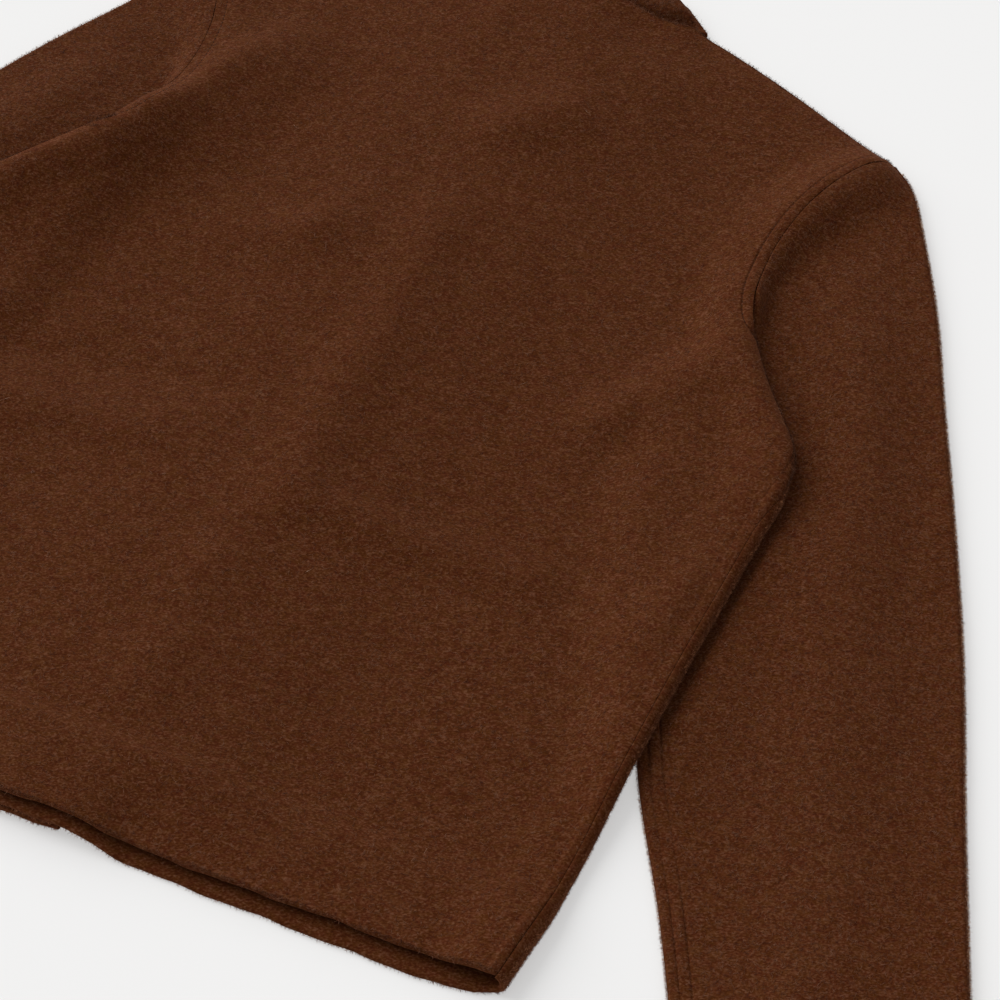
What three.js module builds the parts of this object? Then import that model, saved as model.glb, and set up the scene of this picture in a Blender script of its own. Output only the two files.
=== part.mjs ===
// A boxy wool jacket laid face down: one back, two fronts, two set-in sleeves, a band collar and buttons.
// Millimetres. X runs to the wearer's right, Y to the collar and Z up. The back is uppermost.
// The sketch frame has its zero at mid back, level with the shoulder tips, and on the floor.
import * as THREE from "three";

// Cloth
const CLOTH = 2.2; // wall of boiled wool
const HEM_CLOTH = 4.0; // wall where the hem allowance is turned up inside
const GAP = 0.4; // between pieces that touch
const SEAM = 0.3; // between the edges of two pieces at a straight seam
const CURVED_SEAM = 2.2; // between the collar and the neckline, whose edges curve
const ARMHOLE_SEAM = 2.9; // between the sleeves and the armholes
const LAP_GAP = 0.8; // between the two fronts at the closure

// Body
const SHOULDER_TIP = { x: 241, y: 2 };
const NECK_POINT = { x: 85, y: 67 }; // where the collar meets the shoulder
const BACK_NECK_Y = 70;
const FRONT_NECK_Y = -25;
const BACK_HEM_Y = -678;
const FRONT_HEM_Y = -683;
const HEM_DEPTH = 57;
const STRIP = 30; // edge strip that turns over at the side
const SIDE_ROLL = 4.6; // radius of the rolled side edge, to mid wall
const SIDE_SEAM_IN = 9; // side seam, in from the outline on top
const UNDER_SEAM_IN = 6; // armhole seam, in from the roll underneath

// Closure, the wearer's left front outermost
const CLOSURE_X = -9;
const LAP = 20; // each front past the closure line
const BUTTON = { count: 5, radius: 11, thick: 3.5, firstY: -38, pitch: 136, hole: 1.1, spread: 2.6 };
const BUTTON_LIFT = BUTTON.thick + GAP;

// Collar
const COLLAR_HEIGHT = 32;
const COLLAR_LEAN = 0.85; // radians, of its folded ends toward the middle
const COLLAR_TUCK = 6; // seam edge under the back neck

// Sleeve
const SLEEVE_STACK = 7; // two layers of sleeve and a gap under the body
const SLEEVE_EDGE = { outer: 2.4, inner: 1.3 }; // radius of the folds, to mid wall
const SLEEVE_SLANT = 1.12; // breadth of a fold measured straight across the body, to its own

// Outline of the body seen from above, from the hem to the shoulder tip
const BODY_OUTLINE = [
  { y: -690, w: 281 },
  { y: -600, w: 282 },
  { y: -450, w: 282 },
  { y: -330, w: 284 },
  { y: -300, w: 285 },
  { y: -265, w: 278 },
  { y: -253, w: 271 },
  { y: -227, w: 250 },
  { y: -194, w: 227 },
  { y: -169, w: 214 },
  { y: -145, w: 207 },
  { y: -112, w: 204 },
  { y: -78, w: 207 },
  { y: -49, w: 214 },
  { y: -13, w: 230 },
  { y: 2, w: 241 },
];

// Rows of the body's cloth, given at the outline
const ROW_SPANS = [
  { to: -621, steps: 2 },
  { to: -350, steps: 6 },
  { to: -285, steps: 5 },
  { to: -165, steps: 7 },
  { to: -30, steps: 4 },
  { to: 2, steps: 2 },
];

// Outer edge of each sleeve as seen from above, from the shoulder tip to the cuff
const SLEEVE_OUTER = [
  { x: 241.5, y: 2 },
  { x: 257, y: -11 },
  { x: 286, y: -58 },
  { x: 316, y: -117 },
  { x: 346, y: -186 },
  { x: 374, y: -249 },
  { x: 422, y: -362 },
  { x: 466, y: -479 },
  { x: 514, y: -602 },
];

// Inner edge, from under the body to the cuff
const SLEEVE_INNER = [
  { x: 222, y: -330 },
  { x: 250, y: -430 },
  { x: 282, y: -509 },
  { x: 333, y: -598 },
  { x: 368, y: -664 },
];

// Sleeve end hidden under the body, from the last seen stitch of the armhole to the inner fold
const HIDDEN_END = [
  { x: 215, y: -185 },
  { x: 216, y: -220 },
  { x: 218, y: -265 },
  { x: 222, y: -330 },
];
const LAST_SEEN_Y = -158; // where the armhole seam goes under the fold of the back
const LEFT_SLEEVE_IN = 12; // the left sleeve lies this much nearer to the body

// Soft folds of the back: half width, then the crest from point to point with its height
const BACK_FOLDS = [
  {
    half: 25, // puff over the left sleeve
    crest: [
      { x: -150, y: -30, high: 0 },
      { x: -163, y: -90, high: 8 },
      { x: -186, y: -155, high: 10 },
      { x: -212, y: -208, high: 10 },
      { x: -248, y: -262, high: 8 },
      { x: -262, y: -310, high: 0 },
    ],
  },
  {
    half: 20, // puff along the right armhole
    crest: [
      { x: 238, y: -4, high: 4.5 },
      { x: 214, y: -42, high: 5.5 },
      { x: 200, y: -80, high: 6 },
      { x: 198, y: -120, high: 5 },
      { x: 206, y: -160, high: 4 },
      { x: 228, y: -200, high: 3 },
      { x: 262, y: -245, high: 2 },
      { x: 280, y: -300, high: 0 },
    ],
  },
  {
    half: 24, // ridge over the closure
    crest: [
      { x: 6, y: -100, high: 0 },
      { x: 6, y: -140, high: 3.5 },
      { x: 14, y: -300, high: 3 },
      { x: 20, y: -400, high: 3.5 },
      { x: 4, y: -480, high: 3 },
      { x: 10, y: -560, high: 3 },
      { x: -8, y: -670, high: 1 },
    ],
  },
  {
    half: 45, // slack left of the closure
    crest: [
      { x: -75, y: -100, high: 0 },
      { x: -75, y: -160, high: 4.5 },
      { x: -75, y: -640, high: 4.5 },
    ],
  },
  {
    half: 40, // slack right of the closure
    crest: [
      { x: 62, y: -100, high: 0 },
      { x: 62, y: -160, high: 3.5 },
      { x: 62, y: -640, high: 3.5 },
    ],
  },
];
const BACK_AIR = 3; // air between the fronts and the back away from the edges

// Soft folds of the sleeves, the same on both
const SLEEVE_FOLDS = [
  {
    half: 34, // long puff from the sleeve head to the cuff
    crest: [
      { x: 276, y: -110, high: 3 },
      { x: 285, y: -150, high: 5 },
      { x: 318, y: -250, high: 5 },
      { x: 355, y: -390, high: 5 },
      { x: 405, y: -540, high: 4 },
      { x: 430, y: -610, high: 4 },
    ],
  },
];

const clamp01 = (v) => Math.min(1, Math.max(0, v));
const lerp = (a, b, f) => a + (b - a) * f;
const ease = (v) => {
  const f = clamp01(v);
  return f * f * (3 - 2 * f);
};

// One column of a table at a place in another, joined by a smooth curve through its rows
function readTable(table, key, column, at) {
  let i = 0;
  while (i < table.length - 2 && at > table[i + 1][key]) {
    i += 1;
  }
  const a = table[i];
  const b = table[i + 1];
  const f = clamp01((at - a[key]) / (b[key] - a[key]));
  const span = b[key] - a[key];
  const before = table[i - 1] ?? a;
  const after = table[i + 2] ?? b;
  const slopeA = ((b[column] - before[column]) / (b[key] - before[key])) * span;
  const slopeB = ((after[column] - a[column]) / (after[key] - a[key])) * span;
  const f2 = f * f;
  const f3 = f2 * f;
  const ends = (2 * f3 - 3 * f2 + 1) * a[column] + (3 * f2 - 2 * f3) * b[column];
  return ends + (f3 - 2 * f2 + f) * slopeA + (f3 - f2) * slopeB;
}

// A point at a share of the length of a smooth line through flat points
function alongLine(points, share) {
  const curve = new THREE.CatmullRomCurve3(points.map((p) => new THREE.Vector3(p.x, p.y, 0)), false, "centripetal");
  const p = curve.getPointAt(clamp01(share));
  return { x: p.x, y: p.y };
}

// Distance from a point to a straight stretch
function toStretch(x, y, x0, y0, x1, y1) {
  const dx = x1 - x0;
  const dy = y1 - y0;
  const f = clamp01(((x - x0) * dx + (y - y0) * dy) / (dx * dx + dy * dy));
  return Math.hypot(x - x0 - f * dx, y - y0 - f * dy);
}

// Height of soft folds at a place, each by its distance from the nearest stretch of its crest
function foldHeight(folds, x, y) {
  const heights = folds.map(({ half, crest }) => {
    let nearest = Infinity;
    let high = 0;
    crest.slice(1).forEach((b, i) => {
      const a = crest[i];
      const distance = toStretch(x, y, a.x, a.y, b.x, b.y);
      if (distance < nearest) {
        const along = ((x - a.x) * (b.x - a.x) + (y - a.y) * (b.y - a.y)) / ((b.x - a.x) ** 2 + (b.y - a.y) ** 2);
        high = lerp(a.high, b.high, clamp01(along));
        nearest = distance;
      }
    });
    return high * Math.exp(-((nearest / half) ** 2));
  });
  return heights.reduce((sum, h) => sum + h, 0);
}

const bodyWidth = (y) => readTable(BODY_OUTLINE, "y", "w", y);

// Shoulder and back neck line at a place across the body
function topLineY(x) {
  const out = Math.abs(x);
  const slope = (SHOULDER_TIP.y - NECK_POINT.y) / (SHOULDER_TIP.x - NECK_POINT.x);
  const shoulder = NECK_POINT.y + slope * (out - NECK_POINT.x);
  const neckEase = 14;
  return lerp(BACK_NECK_Y, shoulder, ease((out - NECK_POINT.x + neckEase) / neckEase));
}

// Wall at a level: doubled where the hem is turned up
const wallAt = (y) => lerp(HEM_CLOTH, CLOTH, ease((y - (BACK_HEM_Y + HEM_DEPTH)) / 6));

// How far a place lies inside the sleeve that runs under the body
function insideSleeve(x, y) {
  const out = Math.abs(x);
  const line = [{ x: 204, y: -112 }, ...HIDDEN_END, ...SLEEVE_INNER.slice(1)];
  const stretches = line.slice(1).map((b, i) => ({ a: line[i], b }));
  const distances = stretches.map(({ a, b }) => toStretch(out, y, a.x, a.y, b.x, b.y));
  const nearest = Math.min(...distances);
  const { a, b } = stretches[distances.indexOf(nearest)];
  const side = (b.y - a.y) * (out - a.x) - (b.x - a.x) * (y - a.y);
  return side < 0 ? nearest : -nearest;
}

// Height of the underside of the fronts: lifted by the buttons and by the sleeve under the side
function frontUnderside(x, y) {
  const fromClosure = Math.abs(x - CLOSURE_X);
  const buttons = BUTTON_LIFT * (1 - ease((fromClosure - 18) / 34));
  const overSleeve = ease((insideSleeve(x, y) + 45) / 40);
  const belowSeam = ease((-120 - y) / 40);
  return buttons + SLEEVE_STACK * overSleeve * belowSeam;
}

// Share of the lap, one where the right front lies on the left one
function lapShare(x) {
  const flat = LAP + 14;
  const fade = 34;
  return 1 - ease((Math.abs(x - CLOSURE_X) - flat) / fade);
}

const leftFrontMid = (x, y) => frontUnderside(x, y) + wallAt(y) / 2;
const rightLap = (x) => (x < CLOSURE_X ? 1 : lapShare(x));
const rightFrontMid = (x, y) => leftFrontMid(x, y) + (wallAt(y) + LAP_GAP) * rightLap(x);
const frontsTop = (x, y) => frontUnderside(x, y) + wallAt(y) + (wallAt(y) + LAP_GAP) * lapShare(x);

// Radius of the rolled edge of the body, fuller where the back puffs over the sleeve
const rollAt = (y) => SIDE_ROLL + 1.6 * ease((y + 330) / 40) * ease((-170 - y) / 30);

// Folds of the back, which fade by the hem and at the straight part of each side
function backFolds(x, y) {
  const bySide = ease((Math.abs(x) - bodyWidth(y) + 24) / 20) * ease((-330 - y) / 40);
  return foldHeight(BACK_FOLDS, x, y) * (1 - bySide) * ease((y - BACK_HEM_Y) / 30);
}

// Mid wall of the back
function backMid(x, y) {
  const out = Math.abs(x);
  const width = bodyWidth(Math.min(y, SHOULDER_TIP.y));
  const atEdge = ease((out - width + 75) / 45);
  const edgeAir = 2 * rollAt(y) - wallAt(y);
  const drop = Math.max(0, topLineY(x) - y);
  const onShoulder = ease((out - NECK_POINT.x + 15) / 25);
  const nearTop = lerp(1, 1 - Math.exp(-drop / 9), onShoulder);
  const neckAir = 2.5 * Math.exp(-drop / 20) * (1 - onShoulder);
  const air = GAP + nearTop * (lerp(BACK_AIR + neckAir, edgeAir - GAP, atEdge) + backFolds(x, y));
  return frontsTop(x, y) + air + wallAt(y) / 2;
}

// Rows of the body as levels at the outline
function bodyRows() {
  const rows = [BACK_HEM_Y];
  for (const span of ROW_SPANS) {
    const from = rows[rows.length - 1];
    for (let k = 1; k <= span.steps; k += 1) {
      rows.push(lerp(from, span.to, k / span.steps));
    }
  }
  return rows;
}

// How much a row rises inward near the shoulder, so that the last row is the shoulder line
const rowRise = (y) => ((NECK_POINT.y - SHOULDER_TIP.y) / (SHOULDER_TIP.x - NECK_POINT.x)) * ease((y + 70) / 72);

// Length of the back's strip: it ends at the side seam, then turns under, then ends at the armhole
function backStrip(y) {
  const roll = rollAt(y);
  const onTop = STRIP - SIDE_SEAM_IN;
  const turned = STRIP - roll + Math.PI * roll + UNDER_SEAM_IN;
  const under = lerp(onTop, turned, ease((y + 390) / 170));
  return lerp(under, STRIP, ease((y + 200) / 32));
}

// Share of the roll: the edge is flat above the place where the armhole seam shows
const rollShare = (y) => 1 - ease((y + 200) / 32);

// A point of the back's strip, by its length from the strip's start, on one side of the body
function backStripPoint(side, y, length) {
  const width = bodyWidth(y);
  const roll = rollAt(y);
  const flat = Math.min(length, STRIP - roll);
  const x = width - STRIP + flat;
  const level = (atX) => y + (width - atX) * rowRise(y);
  if (length <= STRIP - roll) {
    return new THREE.Vector3(side * x, level(x), backMid(side * x, level(x)));
  }
  const turn = Math.max(rollShare(y), 0.001) / roll;
  const angle = Math.min((length - flat) * turn, Math.PI);
  const past = length - flat - angle / turn;
  const rolledX = x + Math.sin(angle) / turn - past;
  const top = backMid(side * (width - roll), level(width - roll));
  const flatTop = backMid(side * rolledX, level(rolledX));
  const start = lerp(flatTop, top, rollShare(y));
  const puff = 1 + (rollShare(y) * backFolds(side * (width - roll), level(width - roll))) / (2 * roll);
  return new THREE.Vector3(side * rolledX, level(rolledX), start - ((1 - Math.cos(angle)) / turn) * puff);
}

// A point of a front's strip, which turns up round the side to meet the back
function frontStripPoint(side, mid, y, length) {
  const width = bodyWidth(y);
  const roll = rollAt(y);
  const flat = Math.min(length, STRIP - roll);
  const x = width - STRIP + flat;
  const level = (atX) => y + (width - atX) * rowRise(y);
  if (length <= STRIP - roll || y > -200) {
    const reach = width - STRIP + length;
    return new THREE.Vector3(side * reach, level(reach), mid(side * reach, level(reach)));
  }
  const angle = Math.min((length - flat) / roll, Math.PI);
  const past = length - flat - angle * roll;
  const z = mid(side * (width - roll), y) + roll * (1 - Math.cos(angle));
  return new THREE.Vector3(side * (x + roll * Math.sin(angle) - past), y, z);
}

// The gap at the side seam, wider where the seam slides round the edge
const sideGap = (y) => SEAM + 2.2 * ease((y + 400) / 30) * ease((-170 - y) / 20);

// Length of a front's strip: it fills what the back's strip leaves, then ends at the armhole
function frontStrip(y) {
  const roll = rollAt(y);
  const whole = 2 * (STRIP - roll) + Math.PI * roll;
  const below = whole - backStrip(y) - sideGap(y) / 2;
  const hidden = STRIP - roll - UNDER_SEAM_IN;
  const lower = lerp(below, hidden, ease((y + 225) / 20));
  return lerp(lower, STRIP - 1, ease((y + 165) / 160));
}

// A sheet's inner point from its four edges, each a function of a share
function coons(edges, u, v) {
  const { bottom, top, left, right } = edges;
  const mix = (key) => {
    const rulers = lerp(bottom(u)[key], top(u)[key], v) + lerp(left(v)[key], right(v)[key], u);
    const low = lerp(bottom(0)[key], bottom(1)[key], u);
    const high = lerp(top(0)[key], top(1)[key], u);
    return rulers - lerp(low, high, v);
  };
  return { x: mix("x"), y: mix("y") };
}

// Closed solid of a sheet: rows of points on its mid wall, each moved out by half the wall
function sheetSolid(name, rows, wall, ring, material) {
  const across = rows[0].length;
  const last = rows.length - 1;
  const at = (j, i) => {
    const column = ring ? (i + across) % across : Math.min(Math.max(i, 0), across - 1);
    return rows[Math.min(Math.max(j, 0), last)][column];
  };
  const outer = [];
  const inner = [];
  rows.forEach((row, j) => {
    row.forEach((point, i) => {
      const along = at(j + 1, i).clone().sub(at(j - 1, i));
      const over = at(j, i + 1).clone().sub(at(j, i - 1));
      const normal = over.cross(along).normalize().multiplyScalar(wall(point) / 2);
      outer.push(point.clone().add(normal));
      inner.push(point.clone().sub(normal));
    });
  });
  const points = [...outer, ...inner];
  const faces = [];
  const quad = (a, b, c, d) => faces.push([a, b, c], [a, c, d]);
  const base = outer.length;
  const spans = ring ? across : across - 1;
  for (let j = 0; j < last; j += 1) {
    for (let i = 0; i < spans; i += 1) {
      const a = j * across + i;
      const b = j * across + ((i + 1) % across);
      quad(a, b, b + across, a + across);
      quad(base + a, base + a + across, base + b + across, base + b);
    }
  }
  for (let i = 0; i < spans; i += 1) {
    const next = (i + 1) % across;
    const top = last * across;
    quad(base + i, base + next, next, i);
    quad(top + i, top + next, base + top + next, base + top + i);
  }
  if (!ring) {
    for (let j = 0; j < last; j += 1) {
      const a = j * across;
      const b = a + across - 1;
      quad(a, a + across, base + a + across, base + a);
      quad(base + b, base + b + across, b + across, b);
    }
  }
  const geometry = new THREE.BufferGeometry();
  geometry.setAttribute("position", new THREE.Float32BufferAttribute(points.flatMap((p) => p.toArray()), 3));
  geometry.setIndex(faces.flat());
  geometry.computeVertexNormals();
  const mesh = new THREE.Mesh(geometry, material);
  mesh.name = name;
  return mesh;
}

const woolCloth = () => new THREE.MeshStandardMaterial({ color: 0x4c2a18, roughness: 0.95, metalness: 0 });
const buttonPlastic = () => new THREE.MeshStandardMaterial({ color: 0x2a1a12, roughness: 0.45, metalness: 0 });

// The back: one sheet from side to side, with a strip at each side
function makeBack() {
  const levels = bodyRows();
  const inside = 28;
  const strip = 6;
  const stripStart = (side) => (v) => {
    const y = readLevel(levels, v);
    const point = backStripPoint(side, y, 0);
    return { x: point.x, y: point.y };
  };
  const left = stripStart(-1);
  const right = stripStart(1);
  const edges = {
    left,
    right,
    bottom: (u) => ({ x: lerp(left(0).x, right(0).x, u), y: BACK_HEM_Y }),
    top: (u) => {
      const x = lerp(left(1).x, right(1).x, u);
      return { x, y: topLineY(x) };
    },
  };
  const rows = levels.map((y, j) => {
    const v = j / (levels.length - 1);
    const reach = backStrip(y) - sideGap(y) / 2;
    const row = [];
    for (let k = strip; k > 0; k -= 1) {
      row.push(backStripPoint(-1, y, (reach * k) / strip));
    }
    for (let i = 0; i <= inside; i += 1) {
      const p = coons(edges, i / inside, v);
      row.push(new THREE.Vector3(p.x, p.y, backMid(p.x, p.y)));
    }
    for (let k = 1; k <= strip; k += 1) {
      row.push(backStripPoint(1, y, (reach * k) / strip));
    }
    return row;
  });
  return sheetSolid("back", rows, (p) => wallAt(p.y), false, woolCloth());
}

// A level between the rows, by its share of their number
function readLevel(levels, v) {
  const place = v * (levels.length - 1);
  const i = Math.min(Math.floor(place), levels.length - 2);
  return lerp(levels[i], levels[i + 1], place - i);
}

// The front neck from the closure to the neck point, then the shoulder, as points
function frontTopLine(side, startX, endX) {
  const line = [{ x: side * startX, y: FRONT_NECK_Y }];
  const steps = 8;
  const drop = NECK_POINT.y - FRONT_NECK_Y;
  for (let k = 1; k <= steps; k += 1) {
    const angle = (k / steps) * (Math.PI / 2);
    const x = NECK_POINT.x * Math.sin(angle);
    if (side * x > side * startX + 4) {
      line.push({ x, y: NECK_POINT.y - drop * Math.cos(angle) });
    }
  }
  const shoulderSteps = 5;
  for (let k = 1; k <= shoulderSteps; k += 1) {
    const x = lerp(NECK_POINT.x, endX, k / shoulderSteps);
    line.push({ x, y: topLineY(x) });
  }
  return line;
}

// Share of a front's width at a column: the columns stand closer by the closure
const frontShare = (column, columns) => (column / columns) ** 1.5;

// A front: from the closure edge to the side, where its strip turns up to the side seam
function makeFront(name, side, mid) {
  const levels = bodyRows();
  const inside = 12;
  const strip = 7;
  const edgeX = CLOSURE_X * side - LAP; // closure edge, measured toward this front's own side
  const lowerHem = (v) => (FRONT_HEM_Y - BACK_HEM_Y) * Math.max(0, 1 - v * 12);
  const topLine = frontTopLine(1, edgeX, SHOULDER_TIP.x - STRIP);
  const right = (v) => {
    const point = frontStripPoint(1, mid, readLevel(levels, v), 0);
    return { x: point.x, y: point.y + lowerHem(v) };
  };
  const edges = {
    left: (v) => ({ x: edgeX, y: lerp(FRONT_HEM_Y, FRONT_NECK_Y, v) }),
    right,
    bottom: (u) => ({ x: lerp(edgeX, right(0).x, u), y: FRONT_HEM_Y }),
    top: (u) => topAt(topLine, u),
  };
  const rows = levels.map((y, j) => {
    const v = j / (levels.length - 1);
    const row = [];
    for (let i = 0; i <= inside; i += 1) {
      const p = coons(edges, frontShare(i, inside), v);
      row.push(new THREE.Vector3(side * p.x, p.y, mid(side * p.x, p.y)));
    }
    const reach = frontStrip(y);
    for (let k = 1; k <= strip; k += 1) {
      const point = frontStripPoint(side, mid, y, (reach * k) / strip);
      point.y += lowerHem(v) * (1 - 0.8 * ease((k - 2) / (strip - 2)));
      row.push(point);
    }
    return side > 0 ? row : row.reverse();
  });
  return sheetSolid(name, rows, (p) => wallAt(p.y), false, woolCloth());
}

// A point at a share of a line of points, by length, without rounding its corners
function topAt(line, share) {
  const lengths = line.slice(1).map((p, i) => Math.hypot(p.x - line[i].x, p.y - line[i].y));
  let rest = share * lengths.reduce((sum, l) => sum + l, 0);
  let i = 0;
  while (i < lengths.length - 1 && rest > lengths[i]) {
    rest -= lengths[i];
    i += 1;
  }
  const f = clamp01(rest / lengths[i]);
  return { x: lerp(line[i].x, line[i + 1].x, f), y: lerp(line[i].y, line[i + 1].y, f) };
}

// The sleeve's end on one layer: along the armhole seam, then hidden under the body
function sleeveEnd(seamX) {
  const line = [];
  const steps = 7;
  for (let k = 0; k <= steps; k += 1) {
    const y = lerp(SHOULDER_TIP.y, LAST_SEEN_Y, k / steps);
    line.push({ x: seamX(y), y });
  }
  return [...line, ...HIDDEN_END];
}

// A sleeve: a flat tube from the armhole to the cuff, its lower layer on the floor
function makeSleeve(name, side) {
  const across = 11;
  const along = 16;
  const shift = side < 0 ? LEFT_SLEEVE_IN : 0;
  const moved = (points, inset) => points.map((p, i) => ({ x: p.x - (shift + inset) * ease(i / 2), y: p.y }));
  const outerLine = moved(SLEEVE_OUTER, (SLEEVE_EDGE.outer + CLOTH / 2) * SLEEVE_SLANT);
  const innerLine = moved(SLEEVE_INNER, -(SLEEVE_EDGE.inner + CLOTH / 2) * SLEEVE_SLANT);
  const outer = (v) => alongLine(outerLine, v);
  const inner = (v) => alongLine(innerLine, v);
  const cuff = (u) => ({ x: lerp(outer(1).x, inner(1).x, u), y: lerp(outer(1).y, inner(1).y, u) });
  const frontSeamX = (y) => bodyWidth(y) - STRIP + frontStrip(y) + ARMHOLE_SEAM;
  const layers = {
    upper: sleeveEnd((y) => bodyWidth(y) + ARMHOLE_SEAM),
    lower: sleeveEnd(frontSeamX),
  };
  const layerPoint = (line, u, v) =>
    coons({ bottom: (s) => alongLine(line, s), top: cuff, left: outer, right: inner }, u, v);
  const upperHeight = (p, u, v, endHeight) => {
    const edge = lerp(SLEEVE_EDGE.outer, SLEEVE_EDGE.inner, u);
    const rest = CLOTH / 2 + 2 * edge;
    const clear = ease((p.x - bodyWidth(Math.min(p.y, SHOULDER_TIP.y)) - 6) / 40);
    const besideBody = p.y > -170 ? ease(v * 6) : clear;
    const fromEdges = ease(Math.min(u, 1 - u) * 5);
    const folds = foldHeight(SLEEVE_FOLDS, p.x, p.y) * besideBody * fromEdges;
    return lerp(endHeight, rest + folds, ease(v * 14));
  };
  const endHeightAt = (u) => {
    const p = alongLine(layers.upper, u);
    const hidden = CLOTH / 2 + 2 * SLEEVE_EDGE.inner;
    const seam = backMid(side * p.x, p.y);
    return lerp(seam, hidden, ease((-148 - p.y) / 34));
  };
  const rows = [];
  for (let j = 0; j <= along; j += 1) {
    const v = j / along;
    const ring = [];
    const upper = [];
    const lower = [];
    for (let i = 0; i <= across; i += 1) {
      const u = i / across;
      const p = layerPoint(layers.upper, u, v);
      upper.push(new THREE.Vector3(side * p.x, p.y, upperHeight(p, u, v, endHeightAt(u))));
      const q = layerPoint(layers.lower, u, v);
      lower.push(new THREE.Vector3(side * q.x, q.y, CLOTH / 2));
    }
    ring.push(...upper);
    ring.push(...foldPoints(upper[across], lower[across], upper[across - 1]));
    ring.push(...[...lower].reverse());
    ring.push(...foldPoints(lower[0], upper[0], lower[1]));
    rows.push(side > 0 ? ring.reverse() : ring);
  }
  return sheetSolid(name, rows, () => CLOTH, true, woolCloth());
}

// Round points between the two layers at a fold, bulging away from the cloth
function foldPoints(from, to, inside) {
  const middle = from.clone().add(to).multiplyScalar(0.5);
  const radius = from.distanceTo(to) / 2;
  const out = from.clone().sub(inside);
  out.z = 0;
  out.normalize();
  return [0.25, 0.5, 0.75].map((share) => {
    const angle = share * Math.PI;
    const point = middle.clone().add(from.clone().sub(middle).multiplyScalar(Math.cos(angle)));
    return point.addScaledVector(out, radius * Math.sin(angle));
  });
}

// The collar: a band that lies out from the back neck, folds at each shoulder and ends at the closure
function makeCollar() {
  const lowMid = { [-1]: leftFrontMid, 1: rightFrontMid };
  const drop = NECK_POINT.y - FRONT_NECK_Y;
  const section = (x, y, z, lean, rimZ) => {
    const rim = { x: x - Math.sin(lean) * COLLAR_HEIGHT, y: y + Math.cos(lean) * COLLAR_HEIGHT };
    return { seam: new THREE.Vector3(x, y, z), rim: new THREE.Vector3(rim.x, rim.y, rimZ(rim)) };
  };
  const foldAt = { x: NECK_POINT.x - 0.5, y: NECK_POINT.y + 3 };
  const seamTopZ = CLOTH * 1.5 + GAP;
  const half = (side) => {
    const list = [];
    const front = 10;
    const endX = -(CLOSURE_X * side - LAP);
    for (let k = 0; k <= front; k += 1) {
      const f = k / front;
      const angle = lerp(-0.3, Math.PI / 2, f);
      const x = angle < 0 ? lerp(-endX, 0, f / 0.16) : (NECK_POINT.x - CURVED_SEAM) * Math.sin(angle);
      const dip = angle < 0 ? FRONT_NECK_Y : NECK_POINT.y - drop * Math.cos(angle);
      const y = lerp(dip + CURVED_SEAM, foldAt.y, ease((f - 0.8) / 0.2));
      const flat = (p) => lowMid[side](side * p.x, p.y);
      list.push(section(Math.min(x, foldAt.x), y, flat({ x, y }), COLLAR_LEAN * ease(f), flat));
    }
    return list;
  };
  const turned = [0.25, 0.5, 0.75].map((share) => {
    const angle = share * Math.PI;
    const low = CLOTH / 2;
    const radius = (seamTopZ - low) / 2;
    const z = low + radius * (1 - Math.cos(angle));
    return section(foldAt.x + radius * Math.sin(angle), foldAt.y, z, COLLAR_LEAN, () => z);
  });
  const back = [];
  const backSteps = 9;
  for (let k = 0; k <= backSteps; k += 1) {
    const x = lerp(foldAt.x, 0, k / backSteps);
    const tuck = COLLAR_TUCK * ease((NECK_POINT.x - 8 - x) / 22);
    const y = lerp(foldAt.y, BACK_NECK_Y + 0.6, ease((foldAt.x - x) / 12)) - tuck;
    const rise = 1.6 * ease((NECK_POINT.x - 8 - x) / 22);
    const lean = COLLAR_LEAN * (1 - ease((foldAt.x - x) / 60));
    back.push(section(x, y, seamTopZ + rise, lean, () => seamTopZ + 0.2));
  }
  const path = (side) => {
    const place = ({ seam, rim }) => ({
      seam: new THREE.Vector3(side * seam.x, seam.y, seam.z),
      rim: new THREE.Vector3(side * rim.x, rim.y, rim.z),
    });
    return [...half(side), ...turned, ...back].map(place);
  };
  const leftPath = path(-1);
  const whole = [...leftPath, ...path(1).reverse().slice(1)];
  const stripSteps = 2;
  const rows = [];
  for (let j = 0; j <= stripSteps; j += 1) {
    rows.push(whole.map(({ seam, rim }) => seam.clone().lerp(rim, j / stripSteps)));
  }
  return sheetSolid("collar", rows, () => CLOTH, false, woolCloth());
}

// A flat four-hole button under the closure
function makeButton(index) {
  const shape = new THREE.Shape();
  shape.absarc(0, 0, BUTTON.radius, 0, Math.PI * 2, false);
  for (const [sx, sy] of [[-1, -1], [1, -1], [1, 1], [-1, 1]]) {
    const hole = new THREE.Path();
    hole.absarc(sx * BUTTON.spread, sy * BUTTON.spread, BUTTON.hole, 0, Math.PI * 2, true);
    shape.holes.push(hole);
  }
  const geometry = new THREE.ExtrudeGeometry(shape, { depth: BUTTON.thick, bevelEnabled: false, curveSegments: 8 });
  const mesh = new THREE.Mesh(geometry, buttonPlastic());
  mesh.name = `button_${index + 1}`;
  mesh.position.set(CLOSURE_X, BUTTON.firstY - index * BUTTON.pitch, 0);
  return mesh;
}

const jacket = new THREE.Group();
jacket.add(makeBack());
jacket.add(makeFront("right_front", 1, rightFrontMid));
jacket.add(makeFront("left_front", -1, leftFrontMid));
jacket.add(makeSleeve("right_sleeve", 1));
jacket.add(makeSleeve("left_sleeve", -1));
jacket.add(makeCollar());
for (let index = 0; index < BUTTON.count; index += 1) {
  jacket.add(makeButton(index));
}

// The part's own frame has its zero at the middle of the underside
const size = new THREE.Box3().setFromObject(jacket);
const middle = size.getCenter(new THREE.Vector3());
jacket.position.set(-middle.x, -middle.y, -size.min.z);

export default jacket;
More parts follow.
